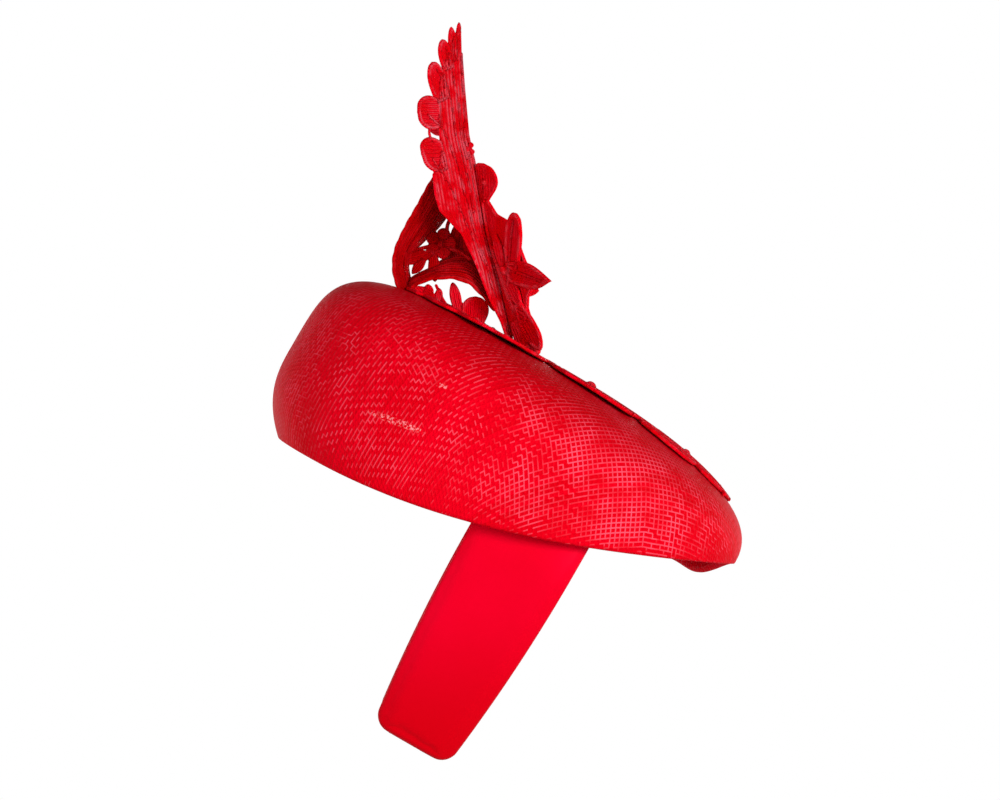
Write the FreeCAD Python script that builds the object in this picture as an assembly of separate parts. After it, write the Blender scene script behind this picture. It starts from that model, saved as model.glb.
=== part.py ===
import FreeCAD, Part

import math
import os

# Fascinator headpiece: a blocked sinamay crown sewn over a satin-covered sprung headband,
# with a sculpture of wired lace leaves and flowers standing on the crown.
#
# Row frame, millimetres: +X is the wearer's forward, +Y the wearer's left, +Z up, as worn.
# The origin is the top of the wearer's head, on the inner face of the headband's apex.
# The crown and the headband are laid out upright in a hat frame, whose Z runs up the
# headband, and are then pitched forward by HAT_PITCH about +Y.

Vec = FreeCAD.Vector

HAT_PITCH = 30.0

# Crown plan, in the hat frame: a blunt egg, rounder behind.
CROWN_CENTRE_X = -22.0
FRONT_REACH = 95.0
BACK_REACH = 92.0
CROWN_HALF_WIDTH = 75.0
PLAN_POWER = 2.4

# Crown profile: (front, side, back) values, blended round the plan.
CROWN_TOP_Z = 10.0
WIDEST_Z = (-20.0, -35.0, -34.0)
SHOULDER_POWER = (2.5, 3.4, 4.4)
RIM_TUCK = (0.5, 1.0, 14.0)
TUCK_POWER = 2.6
# Rim height against hat-frame X: a cubic that rises towards the front.
RIM_CUBIC = (-49.4, 0.317, 0.00127, -2.5e-6)
# The hand-bent front lip dips on the wearer's left.
LIP_DIP = 6.0
LIP_ANGLE = 26.0
LIP_SPREAD = 13.0

# Layers of the crown, as depths below its outer surface.
SHELL_THICKNESS = 1.3
LAYER_GAP = 0.35
LINING_THICKNESS = 0.7
HEM_THICKNESS = 0.6
HEM_HEIGHT = 14.0
LINING_START = 3.2
WIRE_RADIUS = 0.45

# Headband, in the hat frame: a round arch, then legs that lean in.
ARCH_RADIUS = 60.8
LEG_RADIUS = 260.0
BAND_HALF_WIDTH = 21.3
TIP_Z = -138.5
TAPER_START_Z = -55.0
TAPER_RADIUS = 669.0
TIP_CORNER = 6.0
FLEX_ANGLE = 75.0
FLEX_GAP = 0.9
LINING_STRIP = 0.5
COVER_WALL = 0.6
CORE_THICKNESS = 1.6
PAD_THICKNESS = 1.3
SLIP = 0.05
COVER_EDGE = 1.2
STRIP_EDGE = 2.5

LACE_THICKNESS = 1.4
FLAT_LACE = 1.0
LACE_LIFT = 0.6

RING_STEPS = 72
PROFILE_ROWS = 44
ROW_CROWDING = 1.4
OUT = "parts"


def turned(x, y, z):
    """A hat-frame point in the row frame."""
    c, s = math.cos(math.radians(HAT_PITCH)), math.sin(math.radians(HAT_PITCH))
    return Vec(x * c + z * s, y, -x * s + z * c)


def pitched(shape):
    """A hat-frame shape in the row frame."""
    return shape.rotated(Vec(0, 0, 0), Vec(0, 1, 0), HAT_PITCH)


def mirrored(shape):
    return shape.mirror(Vec(0, 0, 0), Vec(0, 1, 0))


def save(name, shape):
    solids = shape.Solids
    assert solids, name
    fixed = []
    for solid in solids:
        if solid.Volume < 0:
            solid.reverse()
        assert solid.isValid() and solid.Volume > 0, name
        fixed.append(solid)
    result = fixed[0] if len(fixed) == 1 else Part.makeCompound(fixed)
    result.exportStep(os.path.join(OUT, name + ".step"))
    print(f"{name}: {len(fixed)} solid(s), {sum(s.Volume for s in fixed) / 1000:.2f} cm3")


# ---------------------------------------------------------------- spline solids


def clamped(count):
    spans = count - 3
    return [4] + [1] * (spans - 1) + [4], [float(k) for k in range(spans + 1)]


def periodic(count):
    return [1] * (count + 1), [float(k) for k in range(count + 1)]


def spline_face(rows, round_v=False, round_u=False):
    """A cubic surface over rows of poles; round_v closes each row, round_u the rows."""
    u_mults, u_knots = (periodic if round_u else clamped)(len(rows))
    v_mults, v_knots = (periodic if round_v else clamped)(len(rows[0]))
    surface = Part.BSplineSurface()
    surface.buildFromPolesMultsKnots(
        rows, u_mults, v_mults, u_knots, v_knots, round_u, round_v, 3, 3
    )
    return surface.toShape(), surface


def sewn(faces):
    shell = Part.Shell(faces)
    if not shell.isClosed():
        joined = Part.makeCompound(faces)
        joined.sewShape(0.001)
        shell = joined.Shells[0]
    return Part.Solid(shell)


def ring_tube(rows):
    """A closed tube: each row is a small ring, and the rows go all the way round."""
    face, _ = spline_face(rows, round_v=True, round_u=True)
    return Part.Solid(Part.Shell([face]))


def iso_edge(surface, at_start, along_u=False):
    first_u, last_u, first_v, last_v = surface.bounds()
    if along_u:
        curve = surface.vIso(first_v if at_start else last_v)
    else:
        curve = surface.uIso(first_u if at_start else last_u)
    return curve.toShape()


def bowl(outer_rows, inner_rows, capped):
    """A wall between two closed-ring surfaces; capped closes the last rings with discs."""
    outer_face, outer = spline_face(outer_rows, round_v=True)
    inner_face, inner = spline_face(inner_rows, round_v=True)
    faces = [outer_face, inner_face]
    faces.append(Part.makeRuledSurface(iso_edge(outer, True), iso_edge(inner, True)))
    if capped:
        faces += [Part.Face(Part.Wire([iso_edge(s, False)])) for s in (outer, inner)]
    else:
        faces.append(Part.makeRuledSurface(iso_edge(outer, False), iso_edge(inner, False)))
    return sewn(faces)


def slab(front_rows, back_rows):
    """A wall between two open surfaces, closed round its four edges."""
    front_face, front = spline_face(front_rows)
    back_face, back = spline_face(back_rows)
    faces = [front_face, back_face]
    for along_u in (False, True):
        for at_start in (True, False):
            faces.append(
                Part.makeRuledSurface(
                    iso_edge(front, at_start, along_u), iso_edge(back, at_start, along_u)
                )
            )
    return sewn(faces)


def grid_normals(rows, closed=False):
    """Unit normals of a grid of points; closed wraps each row."""
    count, width = len(rows), len(rows[0])
    normals = []
    for i in range(count):
        line = []
        for j in range(width):
            up = rows[min(i + 1, count - 1)][j] - rows[max(i - 1, 0)][j]
            if closed:
                across = rows[i][(j + 1) % width] - rows[i][j - 1]
            else:
                across = rows[i][min(j + 1, width - 1)] - rows[i][max(j - 1, 0)]
            line.append(across.cross(up).normalize())
        normals.append(line)
    return normals


def shifted(rows, normals, distance):
    return [[p + n * distance for p, n in zip(r, m)] for r, m in zip(rows, normals)]


def thick_sheet(rows, thickness):
    normals = grid_normals(rows)
    return slab(shifted(rows, normals, thickness / 2), shifted(rows, normals, -thickness / 2))


# ---------------------------------------------------------------- crown


def blended(values, angle):
    """A value that is values[0] in front, values[1] at the sides and values[2] behind."""
    c, s = math.cos(angle), math.sin(angle)
    return values[0] * max(c, 0) ** 2 + values[1] * s * s + values[2] * max(-c, 0) ** 2


def plan_point(angle):
    """The crown's widest outline, from its centre; angle 0 is the front."""
    c, s = math.cos(angle), math.sin(angle)
    reach = FRONT_REACH if c >= 0 else BACK_REACH
    power = 2 / PLAN_POWER
    x = math.copysign(reach * abs(c) ** power, c)
    return x, math.copysign(CROWN_HALF_WIDTH * abs(s) ** power, s)


def rim_z(x, angle):
    a, b, c, d = RIM_CUBIC
    away = (math.degrees(angle) + 180) % 360 - 180 - LIP_ANGLE
    return a + b * x + c * x * x + d * x**3 - LIP_DIP * math.exp(-((away / LIP_SPREAD) ** 2))


def profile(angle, pole=0.045):
    """Dense hat-frame points up the crown's wall, from the rim to a small flat ring on top."""
    px, py = plan_point(angle)
    reach = math.hypot(px, py)
    tuck, widest = blended(RIM_TUCK, angle), blended(WIDEST_Z, angle)
    low = rim_z(CROWN_CENTRE_X + px * (1 - tuck / reach), angle)
    points = []
    for k in range(20):
        fall = 1 - k / 20
        scale = 1 - tuck * fall**TUCK_POWER / reach
        z = widest + (low - widest) * fall
        points.append(Vec(CROWN_CENTRE_X + px * scale, py * scale, z))
    power, rise = blended(SHOULDER_POWER, angle), CROWN_TOP_Z - widest
    last = math.radians(90) - math.atan(pole)
    for k in range(61):
        turn = last * k / 60
        c, s = math.cos(turn), math.sin(turn)
        size = (c**power + s**power) ** (-1 / power)
        points.append(Vec(CROWN_CENTRE_X + px * c * size, py * c * size, widest + rise * s * size))
    points[-1].z = CROWN_TOP_Z
    return points


def along(points, distance):
    """The point this far along a polyline."""
    for a, b in zip(points, points[1:]):
        step = (b - a).Length
        if distance <= step:
            return a + (b - a) * (distance / step)
        distance -= step
    return points[-1]


def length_of(points):
    return sum((b - a).Length for a, b in zip(points, points[1:]))


def crown_rows(start, height, rows, crowding=1.0):
    """Rings up the crown, from start to start + height above the rim, or to the top where
    height is None. Crowding above 1 sets the rings closer together near the rim."""
    profiles = [profile(2 * math.pi * k / RING_STEPS) for k in range(RING_STEPS)]
    lengths = [length_of(p) for p in profiles]
    grid = []
    for i in range(rows):
        share = (i / (rows - 1)) ** crowding
        ring = []
        for points, whole in zip(profiles, lengths):
            top = whole if height is None else start + height
            ring.append(along(points, start + (top - start) * share))
        grid.append(ring)
    return grid


def crown_layer(start, height, rows, depth, thickness, capped):
    grid = crown_rows(start, height, rows, ROW_CROWDING)
    normals = grid_normals(grid, closed=True)
    if capped:
        normals[-1] = [Vec(0, 0, 1)] * RING_STEPS
    return bowl(shifted(grid, normals, -depth), shifted(grid, normals, -depth - thickness), capped)


def crown_z(x, y):
    """Hat-frame height of the crown's outer surface over a point near its top."""
    dx = x - CROWN_CENTRE_X
    reach = FRONT_REACH if dx >= 0 else BACK_REACH
    a, b = abs(dx) / reach, abs(y) / CROWN_HALF_WIDTH
    share = (a**PLAN_POWER + b**PLAN_POWER) ** (1 / PLAN_POWER)
    if share < 1e-6:
        return CROWN_TOP_Z
    half = PLAN_POWER / 2
    angle = math.atan2((b / share) ** half, math.copysign((a / share) ** half, dx))
    power, widest = blended(SHOULDER_POWER, angle), blended(WIDEST_Z, angle)
    return widest + (CROWN_TOP_Z - widest) * max(0.0, 1 - share**power) ** (1 / power)


def build_crown():
    lining_depth = SHELL_THICKNESS + LAYER_GAP
    hem_depth = lining_depth + LINING_THICKNESS + LAYER_GAP
    shell = crown_layer(0.0, None, PROFILE_ROWS, 0.0, SHELL_THICKNESS, True)
    save("crown_shell", pitched(shell))
    lining = crown_layer(LINING_START, None, PROFILE_ROWS, lining_depth, LINING_THICKNESS, True)
    save("crown_lining", pitched(lining))
    hem = crown_layer(0.4, HEM_HEIGHT, 8, hem_depth, HEM_THICKNESS, False)
    save("rim_hem", pitched(hem))
    # The millinery wire runs in the fold between the shell and the hem, under the lining.
    ring = crown_rows(0.0, 2.4, 3)
    normals = grid_normals(ring, closed=True)
    rows = []
    middle = lining_depth + LINING_THICKNESS / 2
    for k in range(RING_STEPS):
        centre = ring[1][k] - normals[1][k] * middle
        up = (ring[2][k] - ring[0][k]).normalize()
        out = normals[1][k]
        rows.append(
            [
                centre + (up * math.sin(t) + out * math.cos(t)) * WIRE_RADIUS
                for t in (2 * math.pi * q / 8 for q in range(8))
            ]
        )
    save("rim_wire", pitched(ring_tube(rows)))


# ---------------------------------------------------------------- headband


def band_levels():
    """Radii in the arch of each layer's inner and outer face."""
    strip = ARCH_RADIUS
    cover = strip + LINING_STRIP
    core = cover + COVER_WALL + SLIP
    pad = core + CORE_THICKNESS + SLIP
    outside = pad + PAD_THICKNESS + SLIP + COVER_WALL
    return {
        "lining": (strip, cover),
        "cover": (cover, outside),
        "cavity": (cover + COVER_WALL, outside - COVER_WALL),
        "core": (core, core + CORE_THICKNESS),
        "padding": (pad, pad + PAD_THICKNESS),
    }


def arch_point(radius, degrees):
    """Hat-frame point on the arch, degrees from its apex towards +Y."""
    t = math.radians(degrees)
    return Vec(0, radius * math.sin(t), -ARCH_RADIUS + radius * math.cos(t))


def leg_point(radius, degrees):
    """Hat-frame point on the leaning leg, degrees below the arch's end."""
    t, r = math.radians(degrees), radius + LEG_RADIUS - ARCH_RADIUS
    return Vec(0, ARCH_RADIUS - LEG_RADIUS + r * math.cos(t), -ARCH_RADIUS - r * math.sin(t))


def arc(a, b, c):
    return Part.Arc(a, b, c).toShape()


def line(a, b):
    return Part.LineSegment(a, b).toShape()


def gap_degrees(radius):
    return math.degrees(FLEX_GAP / 2 / radius)


def leg_strip(inner, outer, half_width, depth=20.0):
    """One leg of a layer, from the flex line down past the tip, as wide as the band."""
    start_in, start_out = (FLEX_ANGLE + gap_degrees(r) for r in (inner, outer))
    edges = [
        arc(arch_point(inner, start_in), arch_point(inner, 85), arch_point(inner, 90)),
        arc(leg_point(inner, 0), leg_point(inner, depth / 2), leg_point(inner, depth)),
        line(leg_point(inner, depth), leg_point(outer, depth)),
        arc(leg_point(outer, depth), leg_point(outer, depth / 2), leg_point(outer, 0)),
        arc(arch_point(outer, 90), arch_point(outer, 85), arch_point(outer, start_out)),
        line(arch_point(outer, start_out), arch_point(inner, start_in)),
    ]
    face = Part.Face(Part.Wire(edges))
    return face.translated(Vec(-half_width, 0, 0)).extrude(Vec(2 * half_width, 0, 0))


def arch_strip(inner, outer, half_width):
    """The part of a layer over the top of the head, between the two flex lines."""
    end_in, end_out = (FLEX_ANGLE - gap_degrees(r) for r in (inner, outer))
    edges = [
        arc(arch_point(inner, -end_in), arch_point(inner, 0), arch_point(inner, end_in)),
        line(arch_point(inner, end_in), arch_point(outer, end_out)),
        arc(arch_point(outer, end_out), arch_point(outer, 0), arch_point(outer, -end_out)),
        line(arch_point(outer, -end_out), arch_point(inner, -end_in)),
    ]
    face = Part.Face(Part.Wire(edges))
    return face.translated(Vec(-half_width, 0, 0)).extrude(Vec(2 * half_width, 0, 0))


def band_outline(inset):
    """A prism with the band's side view: straight, then a long taper to rounded tips."""
    half, low = BAND_HALF_WIDTH - inset, TIP_Z + inset
    corner = TIP_CORNER

    def edge_x(z):
        return half - TAPER_RADIUS + math.sqrt(TAPER_RADIUS**2 - (z - TAPER_START_Z) ** 2)

    join = low + corner
    side = edge_x(join)
    bend = corner * (1 - math.sqrt(0.5))
    right = [
        line(Vec(half, -40, 20), Vec(half, -40, TAPER_START_Z)),
        arc(
            Vec(half, -40, TAPER_START_Z),
            Vec(edge_x((TAPER_START_Z + join) / 2), -40, (TAPER_START_Z + join) / 2),
            Vec(side, -40, join),
        ),
        arc(
            Vec(side, -40, join),
            Vec(side - bend, -40, low + bend),
            Vec(side - corner, -40, low),
        ),
    ]
    left = [e.mirror(Vec(0, 0, 0), Vec(1, 0, 0)) for e in right]
    bottom = line(Vec(side - corner, -40, low), Vec(corner - side, -40, low))
    top = line(Vec(half, -40, 20), Vec(-half, -40, 20))
    wire = Part.Wire(Part.__sortEdges__(right + left + [bottom, top]))
    return Part.Face(wire).translated(Vec(0, -50, 0)).extrude(Vec(0, 180, 0))


def flex_pivot():
    """Hat-frame point on the left leg's flex axis, in the middle of the core."""
    inner, outer = band_levels()["core"]
    return arch_point((inner + outer) / 2, FLEX_ANGLE)


def leg_core(inner, outer, half_width):
    """The sprung core of a leg, with a half-round end on the flex axis."""
    radius = (outer - inner) / 2
    strip = leg_strip(inner, outer, half_width)
    centre = flex_pivot()
    round_end = Part.makeCylinder(radius, 2 * half_width, centre - Vec(half_width, 0, 0), Vec(1, 0, 0))
    along_arch = Vec(0, math.cos(math.radians(FLEX_ANGLE)), -math.sin(math.radians(FLEX_ANGLE)))
    across = Vec(0, -along_arch.z, along_arch.y)
    neck = Part.Face(
        Part.makePolygon(
            [
                centre + across * radius + Vec(-half_width, 0, 0),
                centre + across * radius + along_arch * FLEX_GAP + Vec(-half_width, 0, 0),
                centre - across * radius + along_arch * FLEX_GAP + Vec(-half_width, 0, 0),
                centre - across * radius + Vec(-half_width, 0, 0),
                centre + across * radius + Vec(-half_width, 0, 0),
            ]
        )
    ).extrude(Vec(2 * half_width, 0, 0))
    return strip.fuse([neck, round_end]).removeSplitter()


def build_band():
    levels = band_levels()
    wide = BAND_HALF_WIDTH
    inside = band_outline(COVER_EDGE)
    cavity = leg_strip(*levels["cavity"], wide).common(band_outline(COVER_WALL))
    cover = leg_strip(*levels["cover"], wide).common(band_outline(0)).cut(cavity)
    core = leg_core(*levels["core"], wide).common(inside)
    legs = {
        "band_cover": cover,
        "band_core": core,
        "band_padding": leg_strip(*levels["padding"], wide).common(inside),
        "band_lining": leg_strip(*levels["lining"], wide).common(band_outline(STRIP_EDGE)),
    }
    for name, leg in legs.items():
        save(name + "_left", pitched(leg))
        save(name + "_right", pitched(mirrored(leg)))
    cavity = arch_strip(*levels["cavity"], wide - COVER_WALL)
    cover = arch_strip(*levels["cover"], wide).cut(cavity)
    inner, outer = levels["core"]
    core = arch_strip(inner, outer, wide - COVER_EDGE)
    # A concave seat clears each leg core's round end.
    seat_radius = (outer - inner) / 2 + 0.25
    for y_sign in (1, -1):
        centre = flex_pivot()
        centre.y *= y_sign
        core = core.cut(Part.makeCylinder(seat_radius, 2 * wide, centre - Vec(wide, 0, 0), Vec(1, 0, 0)))
    save("band_cover_centre", pitched(cover))
    save("band_core_centre", pitched(core))
    save("band_padding_centre", pitched(arch_strip(*levels["padding"], wide - COVER_EDGE)))
    save("band_lining_centre", pitched(arch_strip(*levels["lining"], wide - STRIP_EDGE)))


def rod(a, b, radius):
    return Part.makeCylinder(radius, (b - a).Length, a, b - a)


def build_stitches():
    """Thread bars that sew the headband to the crown, each end worked into what it holds."""
    outside = band_levels()["cover"][1]
    bite, thread = 0.35, 0.45
    top = outside - ARCH_RADIUS
    under = CROWN_TOP_Z - SHELL_THICKNESS - LAYER_GAP - LINING_THICKNESS
    bars = []
    for x in (-14, -5, 5, 14):
        for y in (-5, 5):
            low = math.sqrt(outside**2 - y * y) - ARCH_RADIUS
            high = crown_z(x, y) - CROWN_TOP_Z + under
            bars.append(rod(Vec(x, y, low - bite), Vec(x, y, high + bite), thread))
    assert top < under
    save("crown_tacks", pitched(Part.makeCompound(bars)))
    hem_in = SHELL_THICKNESS + LINING_THICKNESS + HEM_THICKNESS + 2 * LAYER_GAP
    bars = []
    for x in (-10.0, 2.0, 14.0):
        angle = math.acos(((x - CROWN_CENTRE_X) / FRONT_REACH) ** (PLAN_POWER / 2))
        wall = profile(angle)
        hold = along(wall, HEM_HEIGHT - 2.0)
        z = hold.z
        start = math.sqrt(outside**2 - (z + ARCH_RADIUS) ** 2)
        bars.append(rod(Vec(x, start - bite, z), Vec(x, hold.y - hem_in + bite, z), thread))
    left = Part.makeCompound(bars)
    save("rim_tacks_left", pitched(left))
    save("rim_tacks_right", pitched(mirrored(left)))


# ---------------------------------------------------------------- lace


def eased(values, share):
    """A smooth curve through evenly spaced values, at a share of the way along."""
    place = share * (len(values) - 1)
    k = min(int(place), len(values) - 2)
    t = place - k
    p0, p1, p2, p3 = (values[min(max(k + d, 0), len(values) - 1)] for d in (-1, 0, 1, 2))
    return 0.5 * (
        (p1 * 2)
        + (p2 - p0) * t
        + (p0 * 2 - p1 * 5 + p2 * 4 - p3) * t * t
        + (p1 * 3 - p0 - p2 * 3 + p3) * t**3
    )


def blade(spine, right_edge, left_edge, sweep, rows=16, across=9, curl=0.0):
    """A leaf-shaped grid on a spine. The edges are half widths along it, sweep is how far
    back each half leans, in degrees, and curl lifts the edges."""
    grid = []
    for i in range(rows):
        share = i / (rows - 1)
        centre = eased(spine, share)
        lean = math.radians(eased(sweep, share))
        row = []
        for j in range(across):
            side = 2 * j / (across - 1) - 1
            half = eased(right_edge if side < 0 else left_edge, share)
            distance = abs(side) * half
            out = Vec(-math.sin(lean), math.copysign(math.cos(lean), side), 0)
            soft = math.sin(abs(side) * math.pi / 2)
            row.append(centre + out * distance * soft + Vec(0, 0, curl * side * side))
        grid.append(row)
    return grid


def strap(spine, half_widths, sides, rows=14, across=5):
    """A ribbon grid: each station has a half width and a direction across it."""
    grid = []
    for i in range(rows):
        share = i / (rows - 1)
        centre, half = eased(spine, share), eased(half_widths, share)
        side = eased(sides, share).normalize()
        row = [centre + side * half * (2 * j / (across - 1) - 1) for j in range(across)]
        grid.append(row)
    return grid


def flower(centre, axis, radius, cup, petals=5, hole=1.2):
    """One flower as a scalloped dish about an axis."""
    axis = Vec(axis).normalize()
    first = axis.cross(Vec(0.3, 1, 0.2)).normalize()
    second = axis.cross(first)
    steps = 12 * petals
    front, back = [], []
    for i in range(6):
        share = i / 5
        ring_front, ring_back = [], []
        for k in range(steps):
            t = 2 * math.pi * k / steps
            scallop = 0.72 + 0.28 * abs(math.cos(petals * t / 2)) ** 0.7
            r = hole + (radius * (1 + (scallop - 1) * share) - hole) * share
            point = centre + (first * math.cos(t) + second * math.sin(t)) * r
            point += axis * cup * share * share
            ring_front.append(point + axis * LACE_THICKNESS / 2)
            ring_back.append(point - axis * LACE_THICKNESS / 2)
        front.append(ring_front)
        back.append(ring_back)
    return bowl(front, back, False)


def flat_lace(outline, start_x, end_x, lift=LACE_LIFT, rows=18, across=9):
    """Lace lying on the crown: outline gives half widths from start_x to end_x."""
    grid = []
    for i in range(rows):
        share = i / (rows - 1)
        x = start_x + (end_x - start_x) * share
        half = eased(outline, share)
        row = []
        for j in range(across):
            y = half * (2 * j / (across - 1) - 1)
            z = crown_z(x, y) + lift + FLAT_LACE / 2
            row.append(Vec(x, y, z))
        grid.append(row)
    return pitched(thick_sheet(grid, FLAT_LACE))


def wire_along(points, radius):
    """A round wire through points."""
    curve = Part.BSplineCurve()
    curve.interpolate(points)
    direction = curve.tangent(curve.FirstParameter)[0]
    circle = Part.Wire([Part.makeCircle(radius, points[0], direction)])
    return Part.Wire([curve.toShape()]).makePipeShell([circle], True, True)


# The lace stands on the crown, so it is laid out in the row frame itself.
TALL_SPINE = [
    Vec(-29.5, 0, 31.5), Vec(-36, -1, 52), Vec(-42, -3, 70), Vec(-46, -3, 86), Vec(-48.5, -2, 101),
    Vec(-50, 0, 116), Vec(-51, 2, 132), Vec(-52, 4, 150),
]


def on_crown(x, y, lift):
    """A row-frame point this far above the crown, over a hat-frame place."""
    return turned(x, y, crown_z(x, y) + lift)


def build_standing_lace():
    """The wired leaves that rise from the crown."""
    tall = blade(
        TALL_SPINE,
        right_edge=[4.5, 7, 13, 24, 31, 28, 18, 3],
        left_edge=[4.5, 6, 11, 20, 26, 24, 15, 3],
        sweep=[20, 24, 28, 30, 30, 28, 24, 20],
    )
    save("lace_tall_leaf", thick_sheet(tall, LACE_THICKNESS))
    save("lace_tall_wire", wire_along([p + Vec(-2.6, 0, 0) for p in TALL_SPINE[:6]], 0.5))
    loop = strap(
        [
            on_crown(-86.5, 2, 2.0), Vec(-74, 1, 59), Vec(-71, 0, 68), Vec(-64.5, -1, 77),
            Vec(-57, -1, 86), Vec(-49, -2, 95),
        ],
        [3, 7, 9.5, 10, 7, 3],
        [Vec(0, 9, 0), Vec(3, 9, -1), Vec(3, 9, -3), Vec(3, 9, -5), Vec(3, 9, -5), Vec(1, 9, -1)],
    )
    save("lace_rear_loop", thick_sheet(loop, LACE_THICKNESS))
    arch = strap(
        [on_crown(-84.0, 1, 3.2), Vec(-64, 0, 54.5), Vec(-54, -2, 56), Vec(-45, -2, 53.5), Vec(-36, -1, 46)],
        [4, 7, 8, 7, 3],
        [Vec(0, 9, 0), Vec(0, 9, 2), Vec(1, 9, 4), Vec(2, 9, 3), Vec(2, 9, 2)],
    )
    save("lace_arch_leaf", thick_sheet(arch, LACE_THICKNESS))
    inner = strap(
        [Vec(-53, 1, 62), Vec(-49.5, 2, 66), Vec(-47.5, 2, 71), Vec(-46.5, 0, 77)],
        [3, 5.5, 5, 2],
        [Vec(6, 6, 0), Vec(6, 6, 0), Vec(6, 7, 0), Vec(5, 7, 0)],
        rows=8,
    )
    save("lace_inner_leaf", thick_sheet(inner, LACE_THICKNESS))
    save("lace_inner_flower", flower(Vec(-60.5, 1, 67.5), Vec(0.2, -1, 0.15), 8.5, 1.5))
    front = strap(
        [
            Vec(-21.5, -1, 26.5), Vec(-26, -3, 41), Vec(-31, -4, 55), Vec(-35, -4, 69),
            Vec(-38.5, -3, 82), Vec(-41, -2, 93),
        ],
        [4, 7, 9, 9, 7, 3],
        [Vec(1, 9, 0), Vec(2, 9, 0), Vec(3, 9, 0), Vec(3, 9, 0), Vec(2, 9, 0), Vec(1, 9, 0)],
    )
    save("lace_front_leaf", thick_sheet(front, LACE_THICKNESS))


def build_flowers():
    """The flowers and petals set in front of the leaves and on the mat."""
    save("lace_upper_flower", flower(Vec(-35.5, -4.5, 88), Vec(0.5, -1, 0.2), 8.0, 1.5))
    save("lace_main_flower", flower(Vec(-27.5, -8, 60), Vec(0.5, -1, 0.35), 13.0, 2.0))
    save("lace_lower_flower", flower(Vec(-20.5, -5.5, 37), Vec(0.5, -1, 0.35), 9.0, 1.5))
    save("lace_bud", flower(Vec(-48, -3, 104), Vec(1, -0.9, 0), 3.2, 0.6, petals=3, hole=0.8))
    petals = []
    for x, radius in ((-60.0, 4.7), (-70.0, 3.7)):
        centre = on_crown(x, 3, radius + 1.4)
        petals.append(flower(centre, Vec(0.15, -1, 0.1), radius, 0.8, petals=3, hole=0.8))
    save("lace_standing_petals", Part.makeCompound(petals))


def build_flat_lace():
    """The lace sewn flat on the crown, from behind the leaves to the front lip."""
    save("lace_base_mat", flat_lace([9, 24, 33, 28, 32, 22, 8], -88.0, -26.0))
    save("lace_middle_leaf", flat_lace([5, 20, 36, 30, 36, 18, 3], -24.5, 22.0))
    save("lace_lip_leaf", flat_lace([3, 15, 28, 22, 24, 3], 23.5, 59.0))
    tacks = []
    places = [(-82, 4), (-70, 15), (-70, -15), (-52, 17), (-52, -17), (-38, 8), (-38, -8)]
    places += [(-22, 12), (-22, -12), (-4, 18), (-4, -18), (12, 8), (12, -8)]
    places += [(29, 7), (29, -7), (42, 11), (42, -11), (53, 0)]
    for x, y in places:
        slope = Vec(crown_z(x + 0.5, y) - crown_z(x - 0.5, y), crown_z(x, y + 0.5) - crown_z(x, y - 0.5), 0)
        normal = Vec(-slope.x, -slope.y, 1).normalize()
        foot = Vec(x, y, crown_z(x, y))
        tacks.append(rod(foot - normal * 0.5, foot + normal * (LACE_LIFT + FLAT_LACE + 0.2), 0.4))
    save("lace_tacks", pitched(Part.makeCompound(tacks)))


os.makedirs(OUT, exist_ok=True)
build_crown()
build_band()
build_stitches()
build_standing_lace()
build_flowers()
build_flat_lace()
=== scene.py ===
import math

import bpy
import numpy as np
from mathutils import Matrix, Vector
from mathutils.bvhtree import BVHTree


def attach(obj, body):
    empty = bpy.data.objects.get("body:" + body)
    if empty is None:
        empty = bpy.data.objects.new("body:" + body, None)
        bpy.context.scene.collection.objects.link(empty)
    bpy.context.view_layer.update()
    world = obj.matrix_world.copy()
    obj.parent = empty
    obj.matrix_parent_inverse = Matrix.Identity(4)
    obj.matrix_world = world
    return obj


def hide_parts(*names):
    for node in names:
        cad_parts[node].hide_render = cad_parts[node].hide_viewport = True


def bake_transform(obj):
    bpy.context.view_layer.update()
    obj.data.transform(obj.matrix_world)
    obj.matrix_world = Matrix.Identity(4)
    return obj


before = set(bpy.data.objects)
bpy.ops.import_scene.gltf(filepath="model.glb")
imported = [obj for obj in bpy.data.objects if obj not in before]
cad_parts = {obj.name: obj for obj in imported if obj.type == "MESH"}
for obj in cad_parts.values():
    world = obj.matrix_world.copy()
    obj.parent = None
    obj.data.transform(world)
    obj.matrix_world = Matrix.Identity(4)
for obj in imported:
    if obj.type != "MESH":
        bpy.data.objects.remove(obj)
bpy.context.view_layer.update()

# A red sinamay and lace headpiece. Lengths are millimetres until add_mesh turns them into
# metres. The crown and the headband are laid out upright in the hat frame and then pitched
# forward; the standing lace is laid out in the row frame itself.

MM = 0.001
HAT_PITCH = math.radians(30.0)

# The crown, in the hat frame, as its CAD shell has it.
CROWN_CENTRE_X = -22.0
FRONT_REACH = 95.0
BACK_REACH = 92.0
CROWN_HALF_WIDTH = 75.0
PLAN_POWER = 2.4
CROWN_TOP_Z = 10.0
WIDEST_Z = (-20.0, -35.0, -34.0)
SHOULDER_POWER = (2.5, 3.4, 4.4)
RIM_TUCK = (0.5, 1.0, 14.0)
TUCK_POWER = 2.6
RIM_CUBIC = (-49.4, 0.317, 0.00127, -2.5e-6)
LIP_DIP = 6.0
LIP_ANGLE = 26.0
LIP_SPREAD = 13.0
HEM_TOP = 14.0
COLUMNS = 288
WALL_STEPS = 24
SHOULDER_STEPS = 90
# The slope at which the shoulder's curve stops, just short of the pole.
POLE_SLOPE = 0.012


# -------- frames and meshes


def path_run(points):
    """The distance along a path at each of its points."""
    return np.concatenate([[0], np.cumsum(np.linalg.norm(np.diff(points, axis=0), axis=1))])


def along_path(distances, run, points):
    """The places on a path at these distances along it."""
    columns = range(points.shape[1])
    return np.stack([np.interp(distances, run, points[:, k]) for k in columns], axis=1)


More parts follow.
